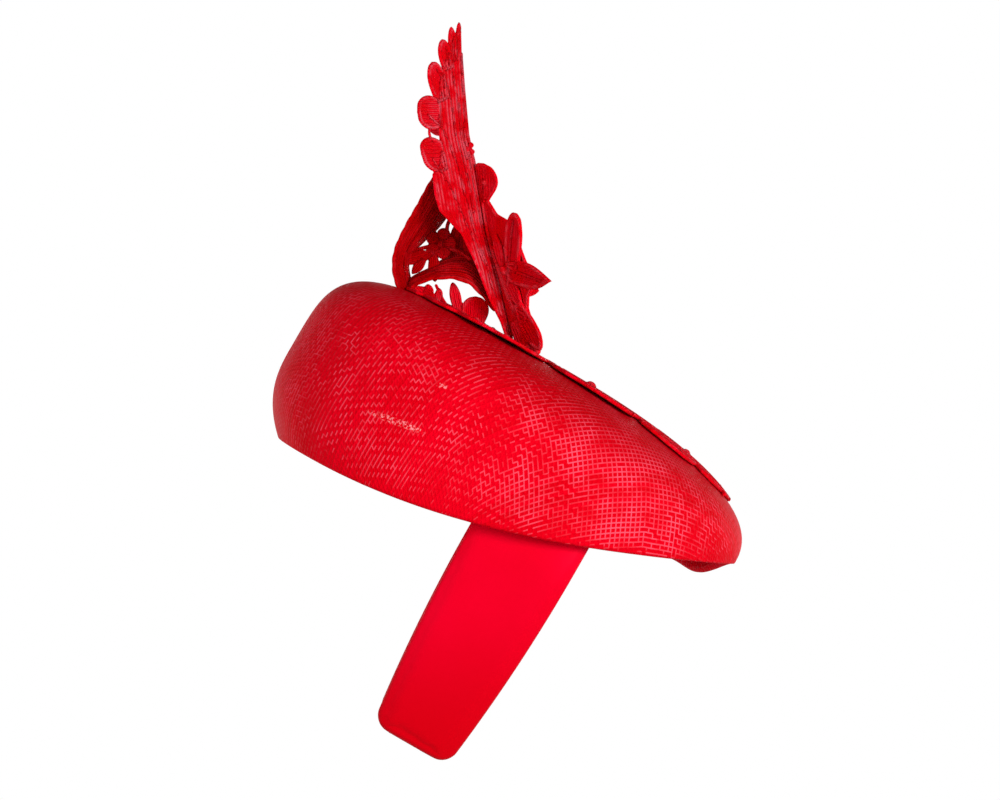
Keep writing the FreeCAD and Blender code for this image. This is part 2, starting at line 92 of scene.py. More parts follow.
def hat_to_row(points):
    """Hat-frame millimetres in the row frame, still in millimetres."""
    points = np.asarray(points, float)
    c, s = math.cos(HAT_PITCH), math.sin(HAT_PITCH)
    turn = np.array([[c, 0, s], [0, 1, 0], [-s, 0, c]])
    return points @ turn.T


def add_object(name, data):
    obj = bpy.data.objects.new(name, data)
    bpy.context.scene.collection.objects.link(obj)
    return obj


def add_mesh(name, points, faces, material, attributes=None):
    """A smooth-shaded mesh object from row-frame millimetres."""
    mesh = bpy.data.meshes.new(name)
    mesh.from_pydata([tuple(p) for p in np.asarray(points) * MM], [], faces)
    for label, values in (attributes or {}).items():
        values = np.asarray(values, np.float32)
        layer = mesh.attributes.new(label, "FLOAT_VECTOR", "POINT")
        layer.data.foreach_set("vector", values.ravel())
    mesh.materials.append(material)
    mesh.polygons.foreach_set("use_smooth", [True] * len(mesh.polygons))
    mesh.update()
    return add_object(name, mesh)


def fix_to_root(piece, slot, *nodes):
    """Declares a piece of the root body, which stands for these CAD nodes."""
    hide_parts(*nodes)
    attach(piece, "root")


def grid_faces(rows, columns, wrap=False):
    """Quads over a grid of points stored row by row. Wrapped rows join end to end."""
    faces = []
    for a in range(0, (rows - 1) * columns, columns):
        for j in range(columns if wrap else columns - 1):
            k = (j + 1) % columns
            faces.append((a + j, a + k, a + columns + k, a + columns + j))
    return faces


def tube_faces(rows, columns):
    """The quads between a tube's rings, and a flat face at each end."""
    last = (rows - 1) * columns
    ends = [tuple(reversed(range(columns))), tuple(range(last, last + columns))]
    return grid_faces(rows, columns, wrap=True) + ends


# -------- material graphs


def math_step(operation):
    return lambda value, other=0.0: value.graph.math(operation, value, other)


class Value:
    """A socket that plain arithmetic can use: each step adds a Math node."""

    def __init__(self, graph, socket):
        self.graph, self.socket = graph, socket

    __add__, __sub__ = math_step("ADD"), math_step("SUBTRACT")
    __mul__, __truediv__ = math_step("MULTIPLY"), math_step("DIVIDE")
    __pow__, __mod__ = math_step("POWER"), math_step("FLOORED_MODULO")
    __abs__ = math_step("ABSOLUTE")


class Graph:
    """Short ways to add nodes to a tree."""

    def __init__(self, tree):
        self.tree = tree

    def link(self, source, target):
        if isinstance(source, Value):
            self.tree.links.new(source.socket, target)
        else:
            target.default_value = source

    def node(self, kind, inputs, output=0, **settings):
        """One output of a new node whose inputs are values or plain numbers."""
        made = self.tree.nodes.new("ShaderNode" + kind)
        for key, value in settings.items():
            setattr(made, key, value)
        for key, value in inputs.items():
            self.link(value, made.inputs[key])
        return Value(self, made.outputs[output])

    def math(self, operation, a, b=0.0, clamp=False):
        return self.node("Math", {0: a, 1: b}, operation=operation, use_clamp=clamp)

    def sine(self, value):
        return self.math("SINE", value)

    def floor(self, value):
        return self.math("FLOOR", value)

    def noise(self, vector, scale, detail=2.0, rough=0.5):
        inputs = {"Vector": vector, "Scale": scale, "Detail": detail, "Roughness": rough}
        return self.node("TexNoise", inputs, "Fac")

    def chance(self, dimensions, **key):
        """A random number from 0 to 1 for each value of the key."""
        return self.node("TexWhiteNoise", key, noise_dimensions=dimensions)

    def position(self):
        return self.node("TexCoord", {}, "Object")

    def attribute(self, name):
        return self.node("Attribute", {}, "Vector", attribute_name=name)

    def split(self, vector):
        parts = self.node("SeparateXYZ", {0: vector}).socket.node.outputs
        return [Value(self, part) for part in parts]

    def joined(self, x, y, z):
        return self.node("CombineXYZ", {0: x, 1: y, 2: z})

    def hat_place(self):
        """The position in the hat frame, in metres: forward, sideways and up."""
        x, y, z = self.split(self.position())
        c, s = math.cos(HAT_PITCH), math.sin(HAT_PITCH)
        return x * c - z * s, y, x * s + z * c

    def ramp(self, value, low, high):
        """0 below low, 1 above high, smooth between."""
        inputs = {"Value": value, "From Min": low, "From Max": high}
        return self.node("MapRange", inputs, interpolation_type="SMOOTHSTEP")

    def blend(self, share, a, b):
        return self.node("Mix", {0: share, 6: a, 7: b}, 2, data_type="RGBA")

    def bump(self, height, distance, strength=1.0, **after):
        inputs = {"Height": height, "Distance": distance, "Strength": strength}
        return self.node("Bump", {**inputs, **after})


class MaterialGraph(Graph):
    """The nodes of a new material round its one shader."""

    def __init__(self, name):
        self.material = bpy.data.materials.new(name)
        self.material.use_nodes = True
        super().__init__(self.material.node_tree)
        self.tree.nodes.clear()
        output = self.tree.nodes.new("ShaderNodeOutputMaterial")
        self.shader = self.tree.nodes.new("ShaderNodeBsdfPrincipled")
        self.tree.links.new(self.shader.outputs[0], output.inputs["Surface"])

    def finish(self, **inputs):
        for key, value in inputs.items():
            self.link(value, self.shader.inputs[key.replace("_", " ")])
        return self.material


# Painted shadow: the colour that the crown's top is darkened towards, where little light falls.
PAINTED_TOP_SHADOW = (0.34, 0.0, 0.0, 1)
# The pale colour of the scuff and of the painted glint.
SCUFF_AND_GLINT_COLOUR = (1.0, 0.30, 0.32, 1)


def straw_lines(graph, across, along, seed, cover, width, staggered):
    """How much of a pale thread edge, partly a painted highlight, shows: lines where across is
    whole, cut into dashes at every whole value of along."""
    line, cell = graph.math("ROUND", across), graph.floor(along)
    edge = graph.ramp(abs(across - line), width, width * 0.45)
    odd = (line + cell) % 2.0
    chance = graph.chance("3D", Vector=graph.joined(line, cell, seed))
    drift = graph.noise(graph.joined(across, along, seed * 3.1), 0.11, 1.0)
    limit = odd * staggered + cover + (drift * 1.6 - 0.8)
    return edge * graph.ramp(limit - (chance * 0.55 + 0.225), -0.08, 0.08)


def scuff_and_glint_mask(graph):
    """A pale scuff and a painted glint on the crown's right side, which is where y is below zero."""
    x, y, z = graph.split(graph.position())
    near = graph.ramp(y, -0.03, -0.05)
    speckle = graph.ramp(graph.noise(graph.position(), 1100.0, 3.0, 0.7), 0.50, 0.62)
    total = 0.0
    for centre_x, centre_z, long, high, slope in SCUFFS_AND_GLINT:
        ahead = x - centre_x
        across = (z - (ahead * -slope + centre_z)) / high
        away = across * across + abs(ahead / long) ** 4.0
        total = graph.ramp(away, 1.0, 0.2) + total
    return graph.math("MULTIPLY", total * speckle, near, clamp=True)


def straw_material(name, base, shade, pale, strength=0.9):
    """Plain-woven straw: dark cells between pale, broken thread edges whose pale is partly a
    painted highlight, with painted shade deepening the colour towards the top."""
    graph = MaterialGraph(name)
    a, b, pattern_highlight = graph.split(graph.attribute("weave"))
    x, y = a / STRAW_PITCH, b / STRAW_PITCH
    rows = straw_lines(graph, y, x, seed=1.0, cover=pattern_highlight * 0.62 + 0.30, width=0.18, staggered=0.42)
    posts = straw_lines(graph, x, y, seed=7.0, cover=pattern_highlight * 0.90 + 0.10, width=0.155, staggered=0.22)
    wear_and_highlight_noise = graph.noise(graph.position(), 90.0, 3.0, 0.6)
    # Pale thread lines, partly painted highlight, fuller and brighter in one patch of the crown.
    lines = graph.math("MAXIMUM", rows, posts) * graph.ramp(wear_and_highlight_noise, 0.25, 0.75)
    lines = lines * (pattern_highlight * (0.35 * strength) + 0.68 * strength)
    strand = graph.chance("1D", W=graph.floor(y))
    cloud = graph.noise(graph.position(), 22.0, 2.0)
    ground = graph.blend(strand * 0.35 + cloud * 0.65, shade, base)
    # Painted shade: towards the top of the crown the ground darkens and the pale lines dim.
    _, _, level = graph.hat_place()
    top = graph.ramp(level, -0.016, 0.008)
    ground = graph.blend(top * 0.55, ground, PAINTED_TOP_SHADOW)
    colour = graph.blend(lines * (top * -0.6 + 1.0), ground, pale)
    # A real pale scuff and a painted glint.
    colour = graph.blend(scuff_and_glint_mask(graph), colour, SCUFF_AND_GLINT_COLOUR)
    odd = (graph.floor(x) + graph.floor(y)) % 2.0
    ride_x, ride_y = abs(graph.sine(x * math.pi)), abs(graph.sine(y * math.pi))
    over = graph.node("Mix", {0: odd, 2: ride_x, 3: ride_y})
    height = over * graph.math("MINIMUM", ride_x, ride_y)
    return graph.finish(
        Base_Color=colour, Roughness=wear_and_highlight_noise * 0.25 + 0.36, Normal=graph.bump(height, 0.00022, 0.9),
        Specular_IOR_Level=0.035, Specular_Tint=(1.0, 0.15, 0.2, 1.0),
    )


# -------- crown surface


def blended(values, angle):
    """A value that is values[0] in front, values[1] at the sides and values[2] behind."""
    c, s = math.cos(angle), math.sin(angle)
    return values[0] * max(c, 0) ** 2 + values[1] * s * s + values[2] * max(-c, 0) ** 2


def plan_point(angle):
    c, s = math.cos(angle), math.sin(angle)
    reach = FRONT_REACH if c >= 0 else BACK_REACH
    power = 2 / PLAN_POWER
    x = math.copysign(reach * abs(c) ** power, c)
    return x, math.copysign(CROWN_HALF_WIDTH * abs(s) ** power, s)


def rim_z(x, angle):
    a, b, c, d = RIM_CUBIC
    away = (math.degrees(angle) + 180) % 360 - 180 - LIP_ANGLE
    return a + b * x + c * x * x + d * x**3 - LIP_DIP * math.exp(-((away / LIP_SPREAD) ** 2))


def crown_profile(angle):
    """Points up the outer surface at one angle, from the rim to just short of the pole."""
    px, py = plan_point(angle)
    reach = math.hypot(px, py)
    tuck, widest = blended(RIM_TUCK, angle), blended(WIDEST_Z, angle)
    low = rim_z(CROWN_CENTRE_X + px * (1 - tuck / reach), angle)
    points = []
    for k in range(WALL_STEPS):
        fall = 1 - k / WALL_STEPS
        scale = 1 - tuck * fall**TUCK_POWER / reach
        z = widest + (low - widest) * fall
        points.append((CROWN_CENTRE_X + px * scale, py * scale, z))
    power, rise = blended(SHOULDER_POWER, angle), CROWN_TOP_Z - widest
    for k in range(SHOULDER_STEPS + 1):
        turn = (math.pi / 2 - math.atan(POLE_SLOPE)) * k / SHOULDER_STEPS
        c, s = math.cos(turn), math.sin(turn)
        size = (c**power + s**power) ** (-1 / power)
        points.append((CROWN_CENTRE_X + px * c * size, py * c * size, widest + rise * s * size))
    return np.array(points)


class Crown:
    """The crown's outer surface: points at a distance up from the rim, at each column."""

    def __init__(self):
        self.profiles, self.lengths = [], []
        for k in range(COLUMNS):
            points = crown_profile(2 * math.pi * k / COLUMNS)
            run = path_run(points)
            self.profiles.append((run, points))
            self.lengths.append(run[-1])
        self.lengths = np.array(self.lengths)

    def ring(self, distances):
        """One point a column; distances below 0 carry on past the rim."""
        made = np.empty((COLUMNS, 3))
        for k, (run, points) in enumerate(self.profiles):
            d = distances[k]
            made[k] = [np.interp(max(d, 0), run, points[:, axis]) for axis in range(3)]
            if d < 0:
                made[k] += (points[1] - points[0]) / run[1] * d
        return made

    def ring_and_normals(self, distances):
        """A ring and its outward unit normals."""
        ring = self.ring(distances)
        up = self.ring(np.minimum(distances + 0.8, self.lengths)) - self.ring(distances - 0.8)
        around = np.roll(ring, -1, axis=0) - np.roll(ring, 1, axis=0)
        normals = np.cross(around, up)
        normals /= np.linalg.norm(normals, axis=1)[:, None]
        return ring, normals

    def station(self, share, start=15.0):
        """The distances that lie this share of the way from start to the top."""
        return start + (self.lengths - start) * share


crown = Crown()

# -------- straw net

NET_STEP = 3.8
NET_ORIGIN_X = -40.0
NET_TURN = math.radians(44.0)
NET_REACH = 50
NET_SKIRT = 45.0
# Where the pale pattern, partly painted highlight, is fullest, in the hat frame, and how far it spreads.
PATTERN_HIGHLIGHT_X, PATTERN_HIGHLIGHT_Z = 22.0, -14.0
PATTERN_HIGHLIGHT_SPREAD = 23.0


class Net:
    """A net of threads laid over the crown from a point on top, as blocked cloth lies: equal
    steps along both threads, with the angle between them free to close."""

    def __init__(self):
        # Past the rim the surface carries on, so that the net does not bunch up there.
        rings = [crown.ring(np.full(COLUMNS, d)) for d in np.linspace(-NET_SKIRT, HEM_TOP, 16)]
        rings += [crown.ring(crown.station(s)) for s in np.linspace(0, 1, 60)]
        self.surface = BVHTree.FromPolygons(
            [Vector(p) for p in np.concatenate(rings)],
            grid_faces(len(rings), COLUMNS, wrap=True),
        )
        self.nodes = {}
        start = self.on_surface(Vector((NET_ORIGIN_X, 0, CROWN_TOP_Z)))
        self.nodes[0, 0] = start
        forward = Vector((math.cos(NET_TURN), math.sin(NET_TURN), 0))
        sideways = Vector((-math.sin(NET_TURN), math.cos(NET_TURN), 0))
        for sign in (1, -1):
            self.walk(start, forward * sign, lambda i, s=sign: (i * s, 0))
            self.walk(start, sideways * sign, lambda i, s=sign: (0, i * s))
        for side_i in (1, -1):
            for side_j in (1, -1):
                for i in range(1, NET_REACH):
                    for j in range(1, NET_REACH):
                        self.cross(i * side_i, j * side_j, side_i, side_j)

    def on_surface(self, point):
        return self.surface.find_nearest(point)[0]

    def walk(self, point, heading, key):
        """A straight thread over the surface."""
        for i in range(1, NET_REACH):
            ahead = self.on_surface(point + heading.normalized() * NET_STEP)
            heading, point = ahead - point, ahead
            self.nodes[key(i)] = point

    def cross(self, i, j, di, dj):
        """The node one step from both of its neighbours."""
        a, b, c = (self.nodes[k] for k in ((i - di, j), (i, j - dj), (i - di, j - dj)))
        point = self.on_surface(a + b - c)
        for _ in range(4):
            for end in (a, b):
                gap = point - end
                if gap.length > 1e-6:
                    point = point - gap * (0.5 * (gap.length - NET_STEP) / gap.length)
            point = self.on_surface(point)
        self.nodes[i, j] = point

    def coordinates(self, points):
        """Distances along the two threads, in millimetres, at hat-frame points."""
        span = range(-NET_REACH + 1, NET_REACH)
        verts = [self.nodes[i, j] for i in span for j in span]
        width = len(span)
        tree = BVHTree.FromPolygons(verts, grid_faces(width, width))
        made = np.zeros((len(points), 2))
        for n, p in enumerate(points):
            _, _, face, _ = tree.find_nearest(Vector(p))
            i, j = divmod(face, width - 1)
            corner = verts[i * width + j]
            right = verts[(i + 1) * width + j] - corner
            up = verts[i * width + j + 1] - corner
            off = Vector(p) - corner
            m = np.array([[right.dot(right), right.dot(up)], [right.dot(up), up.dot(up)]])
            m += np.eye(2) * 1e-6
            s, t = np.linalg.solve(m, [off.dot(right), off.dot(up)])
            made[n] = (
                (i - NET_REACH + 1 + min(max(s, 0), 1)) * NET_STEP,
                (j - NET_REACH + 1 + min(max(t, 0), 1)) * NET_STEP,
            )
        return made


net = Net()


def weave_at(points, shift):
    """The weave attribute at hat-frame points: both thread distances, and how full the pale
    pattern is, partly a painted highlight, which peaks on the sides in front of the headband."""
    points = np.asarray(points)
    made = np.empty((len(points), 3))
    made[:, :2] = net.coordinates(points) + np.array(shift)
    away = (points[:, 0] - PATTERN_HIGHLIGHT_X) ** 2 + (points[:, 2] - PATTERN_HIGHLIGHT_Z) ** 2
    made[:, 2] = np.exp(-away / (2 * PATTERN_HIGHLIGHT_SPREAD**2))
    return made


# -------- crown pieces

STRAW_PITCH = 1.9
# The scuff, then a painted glint, in metres: the X and Z of each middle, half its length and height, its
# fall.
SCUFFS_AND_GLINT = ((-0.0745, 0.0004, 0.0115, 0.0016, 0.36), (-0.0575, 0.0137, 0.0022, 0.0012, 0.2))

# The pale colour is partly a painted highlight along the thread edges.
STRAW = straw_material("sinamay", (0.90, 0.0, 0.014, 1), (0.64, 0.0, 0.004, 1), (1.0, 0.12, 0.19, 1))
LINING_STRAW = straw_material(
    "sinamay_lining", (0.66, 0.0, 0.005, 1), (0.42, 0.0, 0.002, 1), (0.9, 0.09, 0.12, 1), strength=0.5
)

# Depths below the outer surface.
SHELL_WALL = 1.3
LINING_FACES = (1.65, 2.35)
HEM_FACES = (2.7, 3.3)
LINING_START = 3.2
# How much of the pattern is lost at the rim, and how far up from it.
RIM_FADE = 0.55
RIM_FADE_REACH = 4.5
LINING_SHIFT = (3.1, 1.7)


def crown_layer(name, path, material, shift=(0.0, 0.0)):
    """A closed shell from rings. Each place on the path is a distance up from the rim, or
    ("top", share), with a depth below the outer surface."""
    rings, fade = [], []
    for place, depth in path:
        on_top = isinstance(place, tuple)
        distances = crown.station(place[1], HEM_TOP) if on_top else np.full(COLUMNS, place)
        ring, normals = crown.ring_and_normals(distances)
        rings.append(ring - normals * depth)
        fade.append(0.0 if on_top else math.exp(-((place / RIM_FADE_REACH) ** 2)))
    points = np.concatenate(rings)
    weave = weave_at(points, shift)
    weave[:, 2] -= RIM_FADE * np.repeat(fade, COLUMNS)
    faces = tube_faces(len(path), COLUMNS)
    return add_mesh(name, hat_to_row(points), faces, material, {"weave": weave})


def crown_straw():
    """The outer layer with its rim folded up inside as a hem, as one closed shell."""
    hem_in, fold = HEM_FACES
    radius = fold / 2
    path = [(("top", s), 0.0) for s in np.linspace(1, 0, 70)]
    path += [(d, 0.0) for d in np.linspace(12.6, 2.2, 8)]
    for t in np.linspace(0, math.pi, 9):
        path.append((radius - radius * math.sin(t), radius - radius * math.cos(t)))
    path += [(d, fold) for d in np.linspace(3.5, HEM_TOP, 7)]
    path += [(HEM_TOP + 0.25, (hem_in + fold) / 2), (HEM_TOP, hem_in)]
    path += [(d, hem_in) for d in (8.0, 3.0)]
    path += [(d, SHELL_WALL) for d in (3.0, 8.0, 13.0)]
    path += [(("top", s), SHELL_WALL) for s in np.linspace(0.04, 1, 30)]
    return crown_layer("crown_straw", path, STRAW)


def crown_lining():
    """The second layer, which ends under the hem."""
    outer, inner = LINING_FACES
    path = [(("top", s), outer) for s in np.linspace(1, 0, 40)]
    path += [(d, outer) for d in (12.0, 9.0, 6.0, LINING_START + 0.2)]
    path += [(LINING_START, (outer + inner) / 2)]
    path += [(d, inner) for d in (LINING_START + 0.2, 6.0, 9.0, 12.0)]
    path += [(("top", s), inner) for s in np.linspace(0, 1, 40)]
    return crown_layer("lining_straw", path, LINING_STRAW, LINING_SHIFT)


fix_to_root(crown_straw(), "sinamay", "crown_shell", "rim_hem")
fix_to_root(crown_lining(), "sinamay_lining", "crown_lining")

# -------- headband

ARCH_RADIUS = 60.8
LEG_RADIUS = 260.0
BAND_HALF_WIDTH = 21.3
TIP_Z = -138.5
TAPER_START_Z = -55.0
TAPER_RADIUS = 669.0
TIP_CORNER = 6.0
VELVET_INSET = 2.5
VELVET_FACES = (0.0, 0.5)
SATIN_FACES = (0.5, 4.75)
SATIN_INSET = 0.1
# How square the outer and inner faces' edges are.
SATIN_EDGES = (6, 14)
VELVET_EDGES = (40, 40)
# Where a layer is widest, from its inner face to its outer one, and its rounding at the tip.
WIDEST_SHARE = 0.35
TIP_ROUNDING = 2.4
TIP_THINNEST = 0.06
OUTER_STEPS = 30
INNER_STEPS = 24
BAND_STEP = 1.5
CLOTH_SCALE = 10.0
CLOTH_FRAMES = 20
CLOTH = {
    "vertex_group_mass": "pins", "quality": 6, "mass": 0.06, "tension_stiffness": 14,
    "compression_stiffness": 14, "bending_stiffness": 0.4, "use_pressure": True,
    "uniform_pressure_force": 5.0, "shrink_min": -0.006,
}
PAD_SWELL = 0.75


def band_frame(distance):
    """The wearer's left half of the band, this far from the apex along its inner face: the
    hat-frame (y, z) of that face and its outward direction."""
    arch = ARCH_RADIUS * math.pi / 2
    if distance < arch:
        t = distance / ARCH_RADIUS
        return (ARCH_RADIUS * math.sin(t), ARCH_RADIUS * (math.cos(t) - 1)), (math.sin(t), math.cos(t))
    t = (distance - arch) / LEG_RADIUS
    y = ARCH_RADIUS - LEG_RADIUS + LEG_RADIUS * math.cos(t)
    return (y, -ARCH_RADIUS - LEG_RADIUS * math.sin(t)), (math.cos(t), -math.sin(t))


def band_half(z, inset):
    """Half the band's width at a hat-frame height, with the tip's corners rounded off."""
    drop = min(z - TAPER_START_Z, 0)
    side = BAND_HALF_WIDTH - inset - TAPER_RADIUS + math.sqrt(TAPER_RADIUS**2 - drop**2)
    rise = max(z - TIP_Z - inset, 0)
    if rise < TIP_CORNER:
        side -= TIP_CORNER - math.sqrt(TIP_CORNER**2 - (TIP_CORNER - rise) ** 2)
    return side


def band_length(inset):
    """The distance from the apex to the tip."""
    low, high = 0.0, 220.0
    for _ in range(40):
        middle = (low + high) / 2
        if band_frame(middle)[0][1] > TIP_Z + inset:
            low = middle
        else:
            high = middle
    return low


def band_section(half, faces_at, powers):
    """Points round a layer's section: across the outer face, then back across the inner one.
    The powers say how square each face's edges are."""
    low, high = faces_at
    middle = low + WIDEST_SHARE * (high - low)
    outer = half * np.sin(np.linspace(-math.pi / 2, math.pi / 2, OUTER_STEPS))
    inner = half * np.sin(np.linspace(math.pi / 2, -math.pi / 2, INNER_STEPS + 2)[1:-1])
    up = middle + (high - middle) * np.sqrt(1 - np.abs(outer / half) ** powers[0])
    down = middle + (low - middle) * np.sqrt(1 - np.abs(inner / half) ** powers[1])
    return np.concatenate([outer, inner]), np.concatenate([up, down]), middle


def band_strip(side, inset, faces_at, powers):
    """Half a band layer as rings round its section. side is 1 for the wearer's left."""
    length, corner = band_length(inset), TIP_CORNER
    bend = length - corner
    straight = np.linspace(0, bend, int(bend / BAND_STEP))
    stations = np.append(straight, bend + corner * np.sin(np.linspace(0.1, math.pi / 2, 20)))
    rings = []
    for distance in stations:
        (y, z), (ny, nz) = band_frame(distance)
        across, out, middle = band_section(band_half(z, inset), faces_at, powers)
        near_tip = min((length - distance) / TIP_ROUNDING, 1.0)
        squeeze = max(math.sqrt(1 - (1 - near_tip) ** 2), TIP_THINNEST)
        out = middle + (out - middle) * squeeze
        rings.append(np.stack([across, side * (y + ny * out), z + nz * out], axis=1))
    count = OUTER_STEPS + INNER_STEPS
    faces = tube_faces(len(stations), count)
    if side < 0:
        faces = [tuple(reversed(f)) for f in faces]
    return np.concatenate(rings), faces, count


def swollen(points, faces, held):
    """The points after the sleeve is blown up as cloth from a slightly thin start. Held
    points are the seams; no point may move inwards, or further out than PAD_SWELL."""
    mesh = bpy.data.meshes.new("cloth")
    mesh.from_pydata([tuple(p) for p in points * MM * CLOTH_SCALE], [], faces)
    obj = add_object("cloth", mesh)
    pins = obj.vertex_groups.new(name="pins")
    pins.add([int(i) for i in held], 1.0, "REPLACE")
    cloth = obj.modifiers.new("cloth", "CLOTH")
    cloth.settings.effector_weights.gravity = 0.0
    for key, value in CLOTH.items():
        setattr(cloth.settings, key, value)
    cloth.point_cache.frame_start = 1
    cloth.point_cache.frame_end = CLOTH_FRAMES
    scene = bpy.context.scene
    for number in range(1, CLOTH_FRAMES + 1):
        scene.frame_set(number)
    graph = bpy.context.evaluated_depsgraph_get()
    result = obj.evaluated_get(graph).to_mesh()
    moved = np.array([v.co for v in result.vertices]) / MM / CLOTH_SCALE - points
    normals = np.array([v.normal for v in mesh.vertices])
    inward = np.minimum((moved * normals).sum(axis=1), 0.0)
    moved -= normals * inward[:, None]
    bpy.data.objects.remove(obj)
    bpy.data.meshes.remove(mesh)
    scene.frame_set(1)
    size = np.linalg.norm(moved, axis=1)[:, None] + 1e-9
    return points + moved / size * PAD_SWELL * np.tanh(size / PAD_SWELL)


def satin_material():
    graph = MaterialGraph("satin")
    place = graph.position()
    forward, y, up = graph.hat_place()
    _, _, z = graph.split(place)
    warp = graph.noise(graph.joined(forward * 60, y, up), 90.0, 3.0, 0.6)
    weft = graph.noise(graph.joined(forward, y, up * 18), 160.0, 2.0, 0.6)
    thread = warp * 0.7 + weft * 0.3
    # Mottled tone that turns to the darker colour towards the legs' tips: painted shade where the band
    # curves under.
    share = (graph.noise(place, 26.0, 2.0) * 0.7 + thread * 0.3) * graph.ramp(z, -0.135, -0.035)
    colour = graph.blend(share, (0.64, 0.0, 0.004, 1), (1.0, 0.0, 0.032, 1))
    fine = graph.bump(thread, 0.00004, 0.6)
    normal = graph.bump(graph.noise(place, 55.0, 2.0), 0.0006, 0.35, Normal=fine)
    return graph.finish(
        Base_Color=colour, Roughness=thread * 0.16 + 0.34, Normal=normal, Sheen_Weight=0.05,
        Sheen_Roughness=0.35, Sheen_Tint=(1.0, 0.05, 0.25, 1.0), Specular_IOR_Level=0.12,
        Specular_Tint=(1.0, 0.06, 0.2, 1.0), Anisotropic=0.5,
    )


def velvet_material():
    graph = MaterialGraph("velvet")
    place = graph.position()
    pile = graph.noise(place, 2600.0, 2.0, 0.7)
    share = graph.noise(place, 70.0, 3.0) * 0.6 + pile * 0.4
    colour = graph.blend(share, (0.16, 0.0, 0.002, 1), (0.42, 0.0, 0.008, 1))
    return graph.finish(
        Base_Color=colour, Roughness=0.9, Normal=graph.bump(pile, 0.0002, 0.8), Sheen_Weight=0.8,
        Sheen_Roughness=0.3, Sheen_Tint=(1.0, 0.12, 0.16, 1.0), Specular_IOR_Level=0.1,
    )


SATIN = satin_material()
VELVET = velvet_material()


def build_band():
    """Each half of the satin sleeve and of the velvet inside it."""
    for side, word in ((1, "left"), (-1, "right")):
        low, high = SATIN_FACES
        points, faces, across = band_strip(side, SATIN_INSET, (low, high - 0.7 * PAD_SWELL), SATIN_EDGES)
        number = np.arange(len(points))
        seam = (number % across >= OUTER_STEPS) | (number < 2 * across)
        points = swollen(points, faces, number[seam])
        satin = add_mesh("satin_" + word, hat_to_row(points), faces, SATIN)
        nodes = ["band_cover_" + word, "band_padding_" + word]
        nodes += ["band_cover_centre", "band_padding_centre"] if side > 0 else []
        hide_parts(*nodes)
        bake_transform(satin)
        points, faces, _ = band_strip(side, VELVET_INSET, VELVET_FACES, VELVET_EDGES)
        velvet = add_mesh("velvet_" + word, hat_to_row(points), faces, VELVET)
        nodes = ["band_lining_" + word] + (["band_lining_centre"] if side > 0 else [])
        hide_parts(*nodes)
        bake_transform(velvet)


build_band()

# -------- lace tools

LACE_GRID = 0.42
# How far a motif's back stands out, as a share of its front.
BACK_SHARE = 0.75
CORD_STEPS = 40
PETAL_STEPS = 26
DOT_SIDES = 14
RIDGE_DEPTH = 0.34
NORMAL_STEP = 0.3
FOLD_RADIUS = 2.0


# The pale of the crests: partly rubbed thread, partly painted highlight.
WORN_AND_HIGHLIT_THREAD = (1.0, 0.18, 0.24, 1)


def lace_material(name, dark, light, paleness):
    """Satin stitch over cords and ribs, whose tops are paler in places: partly rubbed thread
    and partly painted highlight.
    """
    graph = MaterialGraph(name)
    across, along, rise = graph.split(graph.attribute("stitch"))
    place = graph.position()
    waver = graph.noise(place, 260.0, 2.0)
    satin = graph.sine(across * 8.5 + waver * 5.0)
    cross = graph.sine(along * 13.0 + waver * 6.0)
    fuzz = graph.noise(place, 1500.0, 3.0, 0.65)
    height = fuzz * 1.6 + (cross * 0.35 + satin)
    wear_and_highlight_noise = graph.noise(place, 120.0, 4.0, 0.6)
    # Paler crests and rib tops, partly rubbed thread and partly painted highlight.
    worn_and_highlit = graph.ramp(height, 1.2, 2.2) * graph.ramp(wear_and_highlight_noise, 0.42, 0.72)
    ribs = graph.ramp(rise, 0.5, 0.85) * graph.ramp(wear_and_highlight_noise, 0.42, 0.6)
    ground = graph.blend(graph.ramp(wear_and_highlight_noise, 0.3, 0.7), dark, light)
    colour = graph.blend(graph.math("MAXIMUM", worn_and_highlit, ribs) * paleness, ground, WORN_AND_HIGHLIT_THREAD)
    return graph.finish(
        Base_Color=colour, Roughness=0.5, Normal=graph.bump(height, 0.00026, 0.9), Sheen_Weight=0.01,
        Sheen_Roughness=0.5, Sheen_Tint=(1.0, 0.1, 0.15, 1.0), Specular_IOR_Level=0.05,
        Specular_Tint=(1.0, 0.2, 0.25, 1.0),
    )


LACE = lace_material("lace", (0.90, 0.0, 0.004, 1), (1.0, 0.0, 0.016, 1), 0.22)
# The tall leaf's lace, with more of its crests painted pale: partly rubbed thread, partly painted
# highlight.
WORN_HIGHLIT_LACE = lace_material("lace_worn_highlit", (0.92, 0.0, 0.004, 1), (1.0, 0.0, 0.016, 1), 0.62)
# A lighter copy of the lace for the front leaf and its flowers: painted light on faces the lamps reach
# weakly.
PAINTED_LIGHT_LACE = lace_material("lace_painted_light", (0.96, 0.0, 0.004, 1), (1.0, 0.0, 0.014, 1), 0.25)
# A darker copy of the lace for the loop, the arch leaf and the pieces inside the loop: painted shade.
PAINTED_SHADE_LACE = lace_material("lace_shaded", (0.52, 0.0, 0.001, 1), (0.72, 0.0, 0.004, 1), 0.1)


